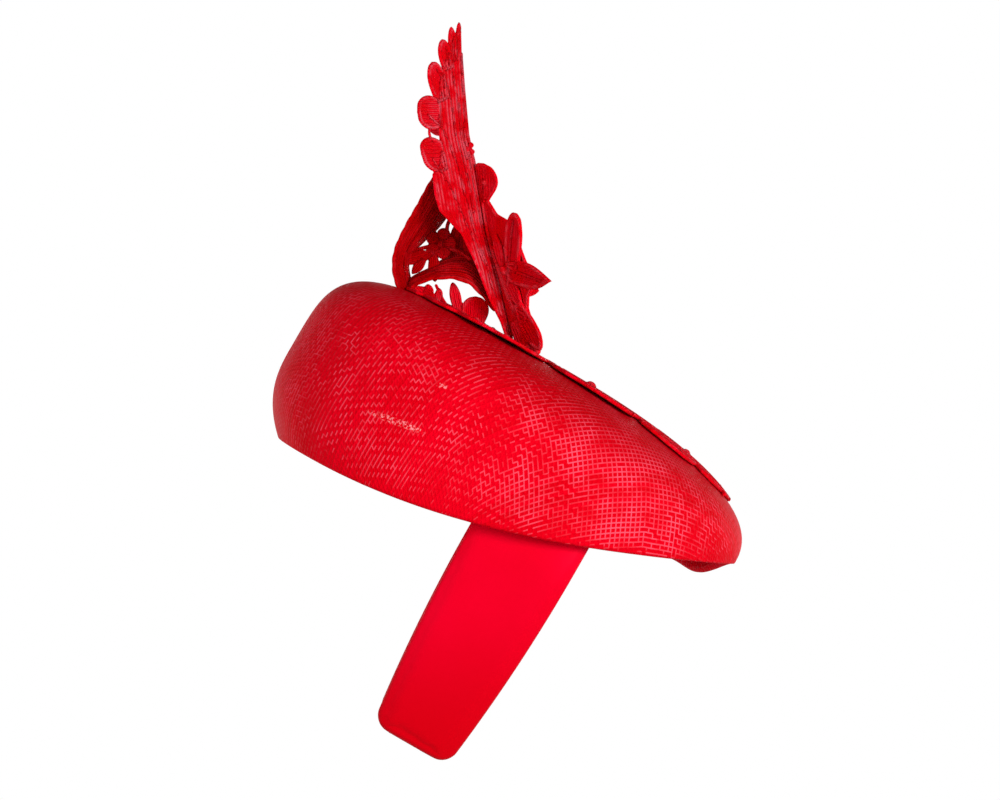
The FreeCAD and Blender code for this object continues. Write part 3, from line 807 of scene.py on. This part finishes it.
def curve_through(points, count=160):
    """Evenly spaced points on a smooth curve through the given ones."""
    points = np.asarray(points, float)
    ends = np.vstack([2 * points[0] - points[1], points, 2 * points[-1] - points[-2]])
    t = np.linspace(0, 1, 24, endpoint=False)[:, None]
    made = []
    for p0, p1, p2, p3 in zip(ends, ends[1:], ends[2:], ends[3:]):
        square, cube = p0 * 2 - p1 * 5 + p2 * 4 - p3, p1 * 3 - p0 - p2 * 3 + p3
        made.append(0.5 * (p1 * 2 + (p2 - p0) * t + square * t * t + cube * t**3))
    made = np.vstack(made + [points[-1:]])
    run = path_run(made)
    return along_path(np.linspace(0, run[-1], count), run, made)


def inside_distance(u, v, outline):
    """Distance to a closed outline, positive inside it."""
    best = np.full(u.shape, 1e9)
    odd = np.zeros(u.shape, bool)
    for (au, av), (bu, bv) in zip(outline, np.roll(outline, -1, axis=0)):
        du, dv = bu - au, bv - av
        t = np.clip(((u - au) * du + (v - av) * dv) / (du * du + dv * dv + 1e-12), 0, 1)
        best = np.minimum(best, np.hypot(u - au - t * du, v - av - t * dv))
        crosses = (av > v) != (bv > v)
        odd ^= crosses & (u < du * (v - av) / (dv if dv else 1e-12) + au)
    return np.where(odd, best, -best)


class Motif:
    """Flat embroidery laid out along u and across v, in millimetres. Each shape adds its
    distance inside the edge, its half thickness and its own thread direction."""

    def __init__(self):
        self.shapes = []

    def panel(self, outline, rim=0.75, belly=0.5, axis=(1.0, 0.0), ridge=1.7):
        """A filled shape with a raised cord round it and low ridges along its axis."""
        outline = np.asarray(outline, float)
        axis = np.asarray(axis) / np.hypot(*axis)
        origin = outline.mean(axis=0)

        def measure(u, v):
            d = inside_distance(u, v, outline)
            along = (u - origin[0]) * axis[0] + (v - origin[1]) * axis[1]
            across = (v - origin[1]) * axis[0] - (u - origin[0]) * axis[1]
            cord = np.sqrt(np.maximum(rim**2 - (np.maximum(d, 0) - rim) ** 2, 0))
            ridges = 1 + RIDGE_DEPTH * np.cos(2 * math.pi * across / ridge)
            web = np.clip(d / rim, 0, 1) ** 0.5 * belly * ridges
            return d, np.maximum(cord, web), across, along

        low, high = outline.min(axis=0), outline.max(axis=0)
        self.shapes.append((low, high, measure))

    def petal(self, base, tip, width, peak, point, neck, rim=0.7, belly=0.5):
        """A petal from base to tip, widest at peak. Its foot is neck of its width, and a larger
        point makes a sharper end."""
        base, tip = np.asarray(base, float), np.asarray(tip, float)
        axis = tip - base
        side = np.array([-axis[1], axis[0]]) / np.hypot(*axis)
        edge = []
        for t in np.linspace(0, 1, PETAL_STEPS):
            if t < peak:
                half = neck + (1 - neck) * math.sin(math.pi / 2 * t / peak) ** 1.2
            else:
                half = math.cos(math.pi / 2 * (t - peak) / (1 - peak)) ** point
            edge.append((t, half * width / 2))
        outline = [base + axis * t + side * h for t, h in edge]
        outline += [base + axis * t - side * h for t, h in reversed(edge[:-1])]
        self.panel(outline, rim, belly, axis, 1.5)

    def petals(self, *rows):
        """Petals as rows of base, tip, width, peak, point and neck, and perhaps rim and belly."""
        for row in rows:
            self.petal(*row)

    def cord(self, points, radius, end_radius=None):
        """A round cord through points, tapering to end_radius."""
        path = curve_through(points, CORD_STEPS)
        radii = np.linspace(radius, radius if end_radius is None else end_radius, CORD_STEPS)

        def measure(u, v):
            best, along, across = np.full(u.shape, -1e9), np.zeros(u.shape), np.zeros(u.shape)
            run = 0.0
            for k, ((au, av), (bu, bv)) in enumerate(zip(path, path[1:])):
                du, dv = bu - au, bv - av
                size = math.hypot(du, dv) + 1e-9
                t = np.clip(((u - au) * du + (v - av) * dv) / size**2, 0, 1)
                d = radii[k] - np.hypot(u - au - t * du, v - av - t * dv)
                nearer = d > best
                best = np.where(nearer, d, best)
                along = np.where(nearer, run + t * size, along)
                across = np.where(nearer, ((v - av) * du - (u - au) * dv) / size, across)
                run += size
            rise = np.sqrt(np.maximum(radius**2 - (radius - np.maximum(best, 0)) ** 2, 0))
            return best, rise, along, across

        low, high = path.min(axis=0) - radius, path.max(axis=0) + radius
        self.shapes.append((low, high, measure))

    def dot(self, centre, radius):
        """A raised round knot."""
        angles = np.linspace(0, 2 * math.pi, DOT_SIDES, endpoint=False)
        ring = [(centre[0] + radius * math.cos(t), centre[1] + radius * math.sin(t)) for t in angles]
        self.panel(ring, radius * 0.95, radius * 0.5)

    def rosette(self, centre, reach, count=5, width=0.8, turn=0.0):
        """A small flower of round petals about a knot."""
        for k in range(count):
            t = turn + 2 * math.pi * k / count
            tip = (centre[0] + reach * math.cos(t), centre[1] + reach * math.sin(t))
            self.petal(centre, tip, reach * width, 0.62, 0.5, 0.35, rim=0.6)
        self.dot(centre, reach * 0.24)

    def sew(self, name, place, material=LACE, face=-1.0, step=LACE_GRID):
        """Makes the piece, which stands for the CAD node of its name."""
        fix_to_root(self.build(name, place, material, face, step), "lace", "lace_" + name)

    def build(self, name, place, material, face, step):
        """The closed mesh of every shape merged, bent onto a surface by place(u, v)."""
        low = np.min([s[0] for s in self.shapes], axis=0) - 2 * step
        high = np.max([s[1] for s in self.shapes], axis=0) + 2 * step
        us, vs = np.arange(low[0], high[0], step), np.arange(low[1], high[1], step)
        grid_u, grid_v = np.meshgrid(us, vs, indexing="ij")
        depth, rise = np.full(grid_u.shape, -1.0), np.zeros(grid_u.shape)
        thread = np.zeros(grid_u.shape + (2,))
        for start, end, measure in self.shapes:
            i0, j0 = ((start - 1.0 - low) / step).astype(int).clip(0)
            i1, j1 = ((end + 1.0 - low) / step).astype(int) + 2
            part = (slice(i0, i1), slice(j0, j1))
            d, t, across, along = measure(grid_u[part], grid_v[part])
            t = np.where(d > 0, t, 0)
            over = t > rise[part]
            rise[part] = np.where(over, t, rise[part])
            thread[part][over] = np.stack([across[over], along[over]], axis=1)
            depth[part] = np.maximum(depth[part], d)
        flat, heights, marks, faces = self.outlined(us, vs, depth, rise, thread)
        u, v = flat[:, 0], flat[:, 1]
        ahead = place(u + NORMAL_STEP, v) - place(u - NORMAL_STEP, v)
        normal = np.cross(ahead, place(u, v + NORMAL_STEP) - place(u, v - NORMAL_STEP))
        normal /= np.linalg.norm(normal, axis=1)[:, None] + 1e-12
        points = place(u, v) + normal * (heights * face)[:, None]
        if face < 0:
            faces = [tuple(reversed(f)) for f in faces]
        stitch = np.concatenate([marks, heights[:, None]], axis=1)
        return add_mesh(name, points, faces, material, {"stitch": stitch})

    def outlined(self, us, vs, depth, rise, thread):
        """The front and back of the grid's inside, which meet at height 0 where depth is 0."""
        inside = depth > 0
        flat, heights, marks, faces = [], [], [], []
        top = np.full(depth.shape, -1)
        for i, j in np.argwhere(inside):
            top[i, j] = len(flat)
            flat += [(us[i], vs[j])] * 2
            heights += [rise[i, j], -rise[i, j] * BACK_SHARE]
            marks += [thread[i, j]] * 2
        edges = {}

        def crossing(a, b):
            key = (a, b) if inside[a] else (b, a)
            if key not in edges:
                p, q = key
                t = depth[p] / (depth[p] - depth[q])
                edges[key] = len(flat)
                flat.append((us[p[0]] + (us[q[0]] - us[p[0]]) * t, vs[p[1]] + (vs[q[1]] - vs[p[1]]) * t))
                heights.append(0.0)
                marks.append(thread[p])
            return edges[key]

        count = inside[:-1, :-1].astype(int) + inside[1:, :-1] + inside[:-1, 1:] + inside[1:, 1:]
        for i, j in np.argwhere(count > 0):
            ring = [(i, j), (i + 1, j), (i + 1, j + 1), (i, j + 1)]
            upper, lower = [], []
            for k, a in enumerate(ring):
                b = ring[(k + 1) % 4]
                if inside[a]:
                    upper.append(top[a])
                    lower.append(top[a] + 1)
                if inside[a] != inside[b]:
                    made = crossing(a, b)
                    upper.append(made)
                    lower.append(made)
            faces.append(tuple(upper))
            faces.append(tuple(reversed(lower)))
        return np.array(flat), np.array(heights), np.array(marks), faces


def leaf_surface(heights, spine_x, spine_y, lean, forward=-1.0, curl=0.0):
    """Places u, a height, and v, a distance from the rib, on a leaf folded at its rib. v > 0
    is the wearer's right. Both halves lean back, or forward, by the same angle."""
    s, c = math.sin(math.radians(lean)), math.cos(math.radians(lean))

    def place(u, v):
        x, y = np.interp(u, heights, spine_x), np.interp(u, heights, spine_y)
        out = np.sqrt(v * v + FOLD_RADIUS**2) - FOLD_RADIUS
        bow = curl * out * out
        return np.stack([x + forward * s * out + c * bow, y - np.sign(v) * (c * out), u], axis=1)

    return place


def ribbon_surface(first, second, cup):
    """Places u, millimetres along, and v, millimetres across, between two curves. Returns the
    ribbon's length and mean width too."""
    a, b = curve_through(first), curve_through(second)
    middle = (a + b) / 2
    run = path_run(middle)
    width = np.linalg.norm(b - a, axis=1).mean()

    def place(u, v):
        pa, pb = along_path(u, run, a), along_path(u, run, b)
        t = (v / width)[:, None]
        ahead = along_path(u + 1, run, middle) - along_path(u - 1, run, middle)
        out = np.cross(ahead, pb - pa)
        out /= np.linalg.norm(out, axis=1)[:, None] + 1e-9
        return pa * (1 - t) + pb * t + out * cup * 4 * t * (1 - t)

    return place, run[-1], width


FLAT_LIFT = 0.8
FLAT_REACH = 38.0


def crown_height(x, y):
    """The crown's outer surface above hat-frame places. The small offset keeps rays off the
    surface's own edges, where they can slip through."""
    down, start, off = Vector((0, 0, -1)), 60.0, 0.0007
    hits = [net.surface.ray_cast(Vector((a + off, b + off, start)), down)[0] for a, b in zip(x, y)]
    return np.array([h.z if h else WIDEST_Z[1] for h in hits])


def crown_place(flare):
    """Places u, hat-frame X, and v, towards the wearer's right, just above the crown. It
    stands off by flare more at FLAT_REACH."""

    def place(u, v):
        stand = FLAT_LIFT + flare * (v / FLAT_REACH) ** 4
        return hat_to_row(np.stack([u, -v, crown_height(u, -v) + stand], axis=1))

    return place


def mirrored(edge, share=1.0):
    """A leaf's outline from the edge of one half; the other half is this share as wide."""
    return edge + [(u, -share * v) for u, v in reversed(edge)]


def facing_surface(centre, facing, cup=0.0):
    """Places u and v on a dish about a centre: u points up, v sideways, cupped to its face."""
    facing = np.array(facing, float) / np.linalg.norm(facing)
    up = np.array([0.0, 0.0, 1.0])
    up -= facing * up.dot(facing)
    up /= np.linalg.norm(up)
    side = np.cross(up, facing)

    def place(u, v):
        lift = cup * (u * u + v * v)
        return np.array(centre) + u[:, None] * up + v[:, None] * side + lift[:, None] * facing

    return place


# -------- standing lace

TALL_HEIGHTS = (22, 28, 38, 48.6, 57, 65.6, 75.8, 86.8, 93.6, 99.5, 104, 109, 120, 127, 138, 146, 153)
TALL_X = (-30.6, -31.4, -32.8, -35.2, -36.9, -39.4, -42.0, -43.8, -45.0, -46.2, -47.4, -48.4, -49.4,
          -50.0, -50.8, -51.0, -51.3)
TALL_Y = (-12, -11, -8, -5, -3, -2, -3, -3, -3, -2.5, -2, -1.5, -0.5, 0.5, 2.2, 3.2, 4)
TALL_LEAN = 36.0


def build_tall_leaf():
    """The upright leaf: a ribbed body with round lobes below and fingers at its tip."""
    motif = Motif()
    place = leaf_surface(TALL_HEIGHTS, TALL_X, TALL_Y, TALL_LEAN)
    edge = [(24, 3.0), (31.7, 4.2), (38, 6.5), (46, 10.4), (54.6, 13.1), (63, 15.2), (70.7, 18.0),
            (75.8, 24.0), (79.5, 29.0), (86, 30.5), (93.6, 29.5), (97, 25.0), (104, 20.5),
            (109.3, 19.5), (115, 20.0), (121.6, 18.3), (128, 17.5), (134.3, 14.6), (138, 11.5),
            (140.7, 9.6), (144, 8.0), (147, 6.0), (149, 3.0)]
    motif.panel(mirrored(edge, 0.86), rim=0.7, belly=0.6, ridge=2.1)
    # Each lobe: base, tip, width, where it is widest, how sharp its end is.
    lobes = [
        ((100.9, 19.5), (101.0, 33.9), 13.6, 0.42, 0.34),
        ((116.8, 18.0), (117.1, 32.2), 13.2, 0.42, 0.34),
        ((121.5, 15.5), (136.4, 20.6), 10.6, 0.55, 0.45),
        ((133.5, 10.5), (145.3, 13.5), 7.6, 0.55, 0.5),
        ((137.0, 6.0), (150.3, 7.3), 5.4, 0.5, 0.6),
    ]
    for *near, width, peak, point in lobes:
        far = [(u - 1.5, -0.84 * v) for u, v in near]
        for ends, across in ((near, width), (far, width * 0.95)):
            motif.petal(*ends, across, peak, point, 0.8, rim=0.8, belly=0.45)
    motif.petal((136.0, 1.0), (152.2, 1.3), 6.6, 0.5, 0.6, 0.7)
    motif.cord([(106.0, 25.4), (109.0, 26.0), (112.0, 25.0)], 0.6)
    # Each vein: its points on the near half, its radius at the foot and at the end.
    veins = [
        ([(40, 5.5), (65, 10.5), (86, 19), (99, 28)], 0.85, 0.6),
        ([(60, 8.0), (88, 12.0), (108, 16), (116, 26)], 0.85, 0.6),
        ([(80, 8.0), (108, 9.5), (126, 12), (133, 18)], 0.85, 0.55),
        ([(100, 6.0), (122, 6.5), (142, 11.5)], 0.8, 0.5),
    ]
    for side in (1.0, -0.86):
        inner = [(60, 3.4 * side), (90, 5.0 * side), (115, 3.0 * side)]
        motif.cord([(26, 1.4), *inner, (140, 1.0)], 0.95, 0.6)
        for points, radius, end in veins:
            motif.cord([(u, v * side) for u, v in points], radius, end)
    motif.cord([(24, 0), (60, 0), (100, 0), (140, 0)], 1.15, 0.7)
    motif.sew("tall_leaf", place, WORN_HIGHLIT_LACE, face=1.0)


def ribbon_lace(first, second, cup, near, far, steps, rim, ridge):
    """A motif that fills the ribbon between two curves, with its surface and size. near and
    far are the depth and the rate of each edge's scallops."""
    place, length, width = ribbon_surface(first, second, cup)
    low = [(t * length, near[0] * math.sin(t * near[1]) ** 2) for t in np.linspace(0, 1, steps)]
    high = [(t * length, width - far[0] * math.sin(t * far[1]) ** 2) for t in np.linspace(1, 0, steps)]
    motif = Motif()
    motif.panel(low + high, rim=rim, belly=0.5, ridge=ridge)
    return motif, place, length, width


def build_rear_loop():
    """The cupped ribbon behind the tall leaf, in the lace darkened as painted shade."""
    outer = [(-73.4, -9, 47.6), (-75.6, -13, 52.9), (-76.6, -15, 58.8), (-75.7, -16, 65.6),
             (-72.0, -17, 74), (-67.5, -18, 82.0), (-62.5, -20, 91.0), (-58.0, -20, 97.0)]
    inner = [(-69.3, 7, 48.8), (-70.8, 9, 54.0), (-71.6, 11, 60.0), (-69.8, 11, 64.8),
             (-64.5, 10, 69.8), (-58.6, 8, 75.4), (-54.5, 5, 81.5), (-51.0, 3, 88.0)]
    motif, place, length, width = ribbon_lace(outer, inner, -2.6, (0.35, 34), (0.6, 25), 70, 0.8, 1.9)
    for share in (0.3, 0.5, 0.7):
        middle = (length / 2, width * (share + 0.05))
        motif.cord([(1, width * share), middle, (length - 1, width * share)], 0.7)
    motif.sew("rear_loop", place, PAINTED_SHADE_LACE)


def build_arch_leaf():
    """The broad leaf that bridges from the loop's foot to the tall leaf, in the lace darkened as
    painted shade.
    """
    lower = [(-69.8, -9, 48.2), (-67.4, -11, 51.6), (-61, -12, 53.8), (-54, -12, 53.9),
             (-48.3, -11, 52.2), (-43.0, -9, 47.8), (-38.0, -6, 41.5)]
    upper = [(-71.4, 3, 50.2), (-68.7, 4, 54.6), (-62, 5, 58.2), (-54.5, 6, 63.4), (-48.5, 6, 64.6),
             (-43.8, 5, 59.0), (-40.0, 3, 50.0)]
    motif, place, length, width = ribbon_lace(lower, upper, 1.5, (0.5, 17), (0.8, 20), 50, 0.85, 1.8)
    for share in (0.28, 0.52, 0.76):
        motif.cord([(2, width * 0.5), (length * 0.4, width * share), (length - 2, width * share)], 0.75)
    motif.sew("arch_leaf", place, PAINTED_SHADE_LACE, face=1.0)


def build_inner_lace():
    """The small flower inside the loop, its stalks, and the leaf behind it, in the lace darkened
    as painted shade.
    """
    flower = Motif()
    flower.rosette((0, 0), 6.2, 5, 0.85, 0.3)
    flower.cord([(3, 2.5), (7, 2.6), (12, 5.0)], 0.75)
    flower.cord([(-2, 4), (-3.5, 8), (-6, 11.5)], 0.8)
    flower.cord([(4.5, -2.5), (7.5, -2.0), (11, -4.2)], 0.6)
    flower.petals(
        ((-3, -3), (-15, -1.5), 4.8, 0.55, 0.7, 0.4),
        ((-3.5, -2.0), (-7.6, -17.0), 5.0, 0.5, 0.8, 0.5),
        ((-6.0, -6.0), (-12.0, -10.5), 3.8, 0.5, 0.8, 0.5),
    )
    flower.cord([(-1, -4), (-2.2, -8.5), (-4, -12.5)], 0.8, 0.6)
    flower.sew("inner_flower", facing_surface((-58.3, 0.5, 67.8), (-0.15, -1, 0.1), 0.012), PAINTED_SHADE_LACE)
    leaf = Motif()
    leaf.petal((-11, 1), (12, 1), 12, 0.5, 0.8, 0.5)
    leaf.cord([(-9, 0), (0, 0.3), (11, 1)], 0.9, 0.5)
    leaf.sew("inner_leaf", facing_surface((-50.6, 2.5, 67.0), (-0.4, -1, 0), 0.01), PAINTED_SHADE_LACE)


FRONT_HEIGHTS = (22, 29, 36, 44.4, 54.6, 63, 73, 82.6, 90, 96, 104)
FRONT_X = (-27.6, -29.6, -31.7, -33.7, -36.1, -38.4, -40.8, -42.2, -43.4, -44.6, -46.6)
FRONT_Y = (-14, -13, -11, -8, -6, -4, -4, -3.5, -3, -2.5, -2)
FRONT_LEAN = 45.0


def front_surface(off=0.0, curl=0.0):
    """The front leaf's surface, or one this far off it towards the wearer's right."""
    return leaf_surface(FRONT_HEIGHTS, FRONT_X, [y - off for y in FRONT_Y], FRONT_LEAN, 1.0, curl)


def build_front_leaf():
    """The leaf in front of the tall one, swept forward, with its flowers' petals over it, all in
    the lace lightened as painted light.
    """
    leaf = Motif()
    edge = [(25, 1.5), (25.5, 9.0), (29, 13.0), (33, 13.4), (38, 14.4), (43, 13.8), (47, 15.4),
            (51, 19.0), (56, 20.5), (60, 19.0), (66, 18.0), (72, 16.4), (76.5, 14.0), (79, 8.6),
            (84, 5.2), (88, 4.2), (98, 1.6)]
    leaf.panel(mirrored(edge, 0.85), rim=0.8, belly=0.42, ridge=1.9)
    leaf.cord([(25, 8.8), (36, 6.6), (46, 5.0), (62, 2.4), (80, 1.6), (97, 0.4)], 1.6, 0.9)
    leaf.cord([(27, 12.4), (36, 10.0), (46, 8.2), (58, 8.6), (66, 9.6)], 1.3, 0.9)
    leaf.cord([(25, -3), (50, -3.5), (80, -1.5)], 0.9, 0.6)
    leaf.petals(
        ((60, -6), (77, -13), 6.5, 0.5, 0.9, 0.6),
        ((52, -8), (50, -22), 6.5, 0.5, 0.9, 0.6),
        ((36, -6), (29, -12), 6, 0.5, 0.9, 0.6),
    )
    leaf.sew("front_leaf", front_surface(), PAINTED_LIGHT_LACE)

    upper = Motif()
    upper.petal((84.5, 3.0), (98.2, 6.2), 14.0, 0.6, 0.4, 0.35)
    upper.dot((91.0, 4.6), 1.3)
    upper.cord([(84, 2), (88, 3.4), (92, 4.6)], 0.7)
    upper.sew("upper_flower", front_surface(1.6), PAINTED_LIGHT_LACE)

    main = Motif()
    main.petals(
        ((57.5, 10.0), (79.0, 21.4), 9.8, 0.66, 0.38, 0.7, 0.95, 0.4),
        ((57.0, 7.0), (53.0, 36.8), 10.4, 0.4, 1.3, 0.8, 0.95, 0.4),
        ((57.0, 5.0), (43.0, 10.5), 7.0, 0.5, 0.8, 0.5),
        ((58.5, 5.0), (72.0, 5.6), 5.0, 0.5, 0.9, 0.5),
    )
    main.cord([(52, 6.0), (64, 12.0), (76, 19.0)], 0.9, 0.55)
    main.cord([(58, 6), (56, 16), (53, 29)], 0.85, 0.45)
    main.dot((57.5, 6.0), 2.0)
    main.sew("main_flower", front_surface(2.0, -0.006), PAINTED_LIGHT_LACE)

    lower = Motif()
    lower.petals(
        ((45.0, 8.5), (27.0, 14.2), 9.4, 0.6, 0.6, 0.5, 0.9, 0.4),
        ((42.0, 5.0), (38.0, 11.6), 5.4, 0.6, 0.6, 0.5),
        ((38.0, 3.0), (24.5, 5.0), 5.6, 0.5, 0.8, 0.5),
    )
    lower.cord([(46, 5.0), (38, 7.4), (29, 11.2)], 0.85, 0.5)
    lower.sew("lower_flower", front_surface(1.6), PAINTED_LIGHT_LACE)

    bud = Motif()
    bud.rosette((0, 0), 2.6, 3, 0.9, 0.4)
    bud.sew("bud", facing_surface((-47.2, -3.6, 103.8), (0.7, -1, 0.1)), step=0.25)


def build_standing_petals():
    """Petals that stand on the mat under the arch."""
    motif = Motif()
    motif.petals(
        ((-1.5, 0.4), (11.4, -2.2), 4.4, 0.55, 0.6, 0.5),
        ((-5.5, 6.0), (6.0, 6.6), 10.6, 0.55, 0.45, 0.6, 0.9, 0.4),
        ((4.5, -11.2), (10.6, -11.6), 4.2, 0.55, 0.6, 0.5),
        ((3.5, -8.0), (9.0, -7.0), 3.2, 0.55, 0.6, 0.5),
        ((2.0, -7.5), (9.5, -17.5), 6.4, 0.5, 0.7, 0.6),
    )
    low = [(-13, 16), (-8.8, 7), (-4.4, -0.4), (0.2, -10), (4.0, -19)]
    high = [(8.0, -19.6), (6.6, -14.4), (4.6, -8.4), (1.8, -2.4), (-1.4, 3.6), (-4.6, 9.6),
            (-8.6, 15.6)]
    motif.panel(low + high, rim=0.9, belly=0.5, axis=(-0.5, 1.0), ridge=1.8)
    for k in range(6):
        motif.dot((6.0 - 2.7 * k, -16.4 + 5.8 * k), 1.7)
    motif.cord([(0.5, -3.0), (5.0, -6.0), (10.0, -8.4)], 0.6)
    motif.sew("standing_petals", facing_surface((-51.6, -5.5, 41.8), (0.1, -1, 0.12), 0.004))


# -------- lace sewn flat


def flat_leaf(motif, edge, veins):
    """A leaf along the crown: the edge's half, mirrored, a rib and pairs of veins."""
    motif.panel(mirrored(edge), rim=0.8, belly=0.5, ridge=2.0)
    for foot, reach, sweep in veins:
        for side in (1, -1):
            path = [(foot, 0.0), (foot + sweep * 0.4, side * reach * 0.5), (foot + sweep, side * reach)]
            motif.cord(path, 0.95, 0.6)
    motif.cord([(edge[0][0], 0), (edge[-1][0], 0)], 1.1, 0.7)


def build_flat_lace():
    """The mat under the leaves, the middle leaf and the lip leaf."""
    mat = Motif()
    edge = [(-88, 1), (-87, 10), (-83, 18), (-80, 18), (-76, 28), (-70, 33), (-66, 31), (-61, 38),
            (-54, 41), (-50, 37), (-46, 40.5), (-39, 40), (-36, 35), (-32, 35), (-28, 26), (-26, 2)]
    flat_leaf(mat, edge, ((-80, 21, 6), (-68, 30, 9), (-54, 32, 12), (-42, 26, 10)))
    for u, v in ((-72, 12), (-58, 15), (-45, 14)):
        mat.rosette((u, v), 6.5, 5, 0.85)
        mat.rosette((u + 3, -v), 6.0, 5, 0.85, 0.5)
    mat.sew("base_mat", crown_place(1.5))
    middle = Motif()
    edge = [(-27, 2), (-26, 16), (-24, 30), (-19, 37), (-13, 37.5), (-9, 40), (0, 41.5), (8, 40),
            (11.5, 34), (12, 27), (15, 25), (19, 24), (21, 16), (22, 2)]
    flat_leaf(middle, edge, ((-24, 33, 8), (-14, 36, 12), (-3, 35, 14), (6, 22, 12)))
    middle.rosette((-8, 0), 10.0, 5, 0.8)
    middle.sew("middle_leaf", crown_place(1.0))
    lip = Motif()
    edge = [(13.5, 28), (15, 34), (20, 37.5), (28, 38), (36, 35), (40.5, 29), (41, 24), (44, 27),
            (50, 25), (54.5, 18), (58, 9), (59, 1)]
    flat_leaf(lip, [(22.5, 2), (21, 14)] + edge, ((24, 32, 10), (34, 25, 12), (44, 18, 12)))
    lip.rosette((36, 0), 8.0, 5, 0.8)
    lip.sew("lip_leaf", crown_place(0.6))


build_tall_leaf()
build_rear_loop()
build_arch_leaf()
build_inner_lace()
build_front_leaf()
build_standing_petals()
build_flat_lace()

# -------- carried-over nodes

DARK_STEEL = (0.02, 0.02, 0.02, 1), (0.06, 0.06, 0.06, 1)
WIRE_COVER = (0.34, 0.0, 0.004, 1), (0.62, 0.0, 0.02, 1)
THREAD = (0.30, 0.0, 0.003, 1), (0.66, 0.0, 0.02, 1)


def plain_material(name, colours, scale, rough, depth, stripes=0.0):
    """A mottled material for the small inner parts, with a wound or grained surface."""
    graph = MaterialGraph(name)
    place = graph.position()
    grain = graph.noise(place, scale, 3.0, 0.6)
    if stripes:
        x, y, z = graph.split(place)
        grain = graph.sine((x + y + z) * stripes) * 0.3 + grain
    colour = graph.blend(graph.ramp(grain, 0.2, 0.8), *colours)
    return graph.finish(Base_Color=colour, Roughness=rough, Normal=graph.bump(grain, depth, 0.7))


def dress_cad_nodes():
    """Materials for the CAD nodes that stay: cores, wires and stitches."""
    spring = plain_material("spring_strip", DARK_STEEL, 900.0, 0.45, 0.0001)
    wire = plain_material("wound_wire", WIRE_COVER, 500.0, 0.7, 0.0002, 9000.0)
    thread = plain_material("thread", THREAD, 900.0, 0.6, 0.0001, 14000.0)
    dressed = {
        spring: ["band_core_centre", "band_core_left", "band_core_right"],
        wire: ["rim_wire", "lace_tall_wire"],
        thread: ["crown_tacks", "rim_tacks_left", "rim_tacks_right", "lace_tacks"],
    }
    for material, nodes in dressed.items():
        for node in nodes:
            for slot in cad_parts[node].material_slots:
                slot.material = material


dress_cad_nodes()

# -------- stage

CAMERA_DISTANCE = 3.2
SCALE_AT_OBJECT = 0.38
IMAGE_WIDTH = 1000
LOOK_AT = Vector((-0.0358, 0.0, 0.0084))
FLOOR_Z = -0.24
FLOOR_RADIUS = 1.6
FLOOR_SIDES = 96
# The world is bright up to the first height above or below the horizon, AMBIENT past the second.
HORIZON_BAND = (0.12, 0.4)
AMBIENT = 0.16
# Each light: name, place, size, power, and whether it shows in reflections.
LIGHTS = (
    ("key", (1.65, -2.05, 0.45), (0.9, 0.9), 50.0, True),
    ("fill", (-1.5, -2.0, 0.5), (1.2, 1.6), 14.0, True),
    ("back", (0.3, 2.3, 0.1), (1.6, 1.2), 26.0, False),
)


def build_camera():
    data = bpy.data.cameras.new("camera")
    half = IMAGE_WIDTH * SCALE_AT_OBJECT * MM / 2
    data.lens = data.sensor_width / 2 * CAMERA_DISTANCE / half
    camera = add_object("camera", data)
    camera.location = LOOK_AT + Vector((0, -CAMERA_DISTANCE, 0))
    camera.rotation_euler = (math.pi / 2, 0, 0)
    bpy.context.scene.camera = camera


def area_light(name, place, size, power, glossy):
    data = bpy.data.lights.new(name, "AREA")
    data.shape = "RECTANGLE"
    data.size, data.size_y = size
    data.energy = power
    light = add_object(name, data)
    light.location = place
    light.visible_glossy = glossy
    data.specular_factor = 1.0 if glossy else 0.0
    aim = LOOK_AT - Vector(place)
    light.rotation_euler = aim.to_track_quat("-Z", "Y").to_euler()


def build_stage():
    """Soft studio light: a world bright near the horizon and dim elsewhere, and three lights."""
    world = bpy.data.worlds.new("studio")
    world.use_nodes = True
    graph = Graph(world.node_tree)
    _, _, level = graph.split(graph.node("TexCoord", {}, "Generated"))
    low, high = HORIZON_BAND
    band = {"Value": abs(level), "From Min": low, "From Max": high, "To Min": 1.0, "To Max": AMBIENT}
    background = graph.tree.nodes["Background"].inputs
    graph.link(graph.node("MapRange", band, interpolation_type="SMOOTHSTEP"), background["Strength"])
    graph.link((1, 1, 1, 1), background["Color"])
    bpy.context.scene.world = world
    bpy.context.scene.view_settings.view_transform = "Standard"
    for light in LIGHTS:
        area_light(*light)


def build_floor():
    """A round pale floor, low enough to stay out of the level front view."""
    angles = np.linspace(0, 2 * math.pi, FLOOR_SIDES, endpoint=False)
    points = [(FLOOR_RADIUS * math.cos(t), FLOOR_RADIUS * math.sin(t), FLOOR_Z) for t in angles]
    graph = MaterialGraph("floor")
    tint = graph.noise(graph.position(), 3.0, 2.0)
    colour = graph.blend(tint, (0.86, 0.86, 0.86, 1), (0.90, 0.90, 0.90, 1))
    material = graph.finish(Base_Color=colour, Roughness=0.7)
    add_mesh("floor", np.array(points) / MM, [tuple(range(FLOOR_SIDES))], material)


build_camera()
build_stage()
build_floor()
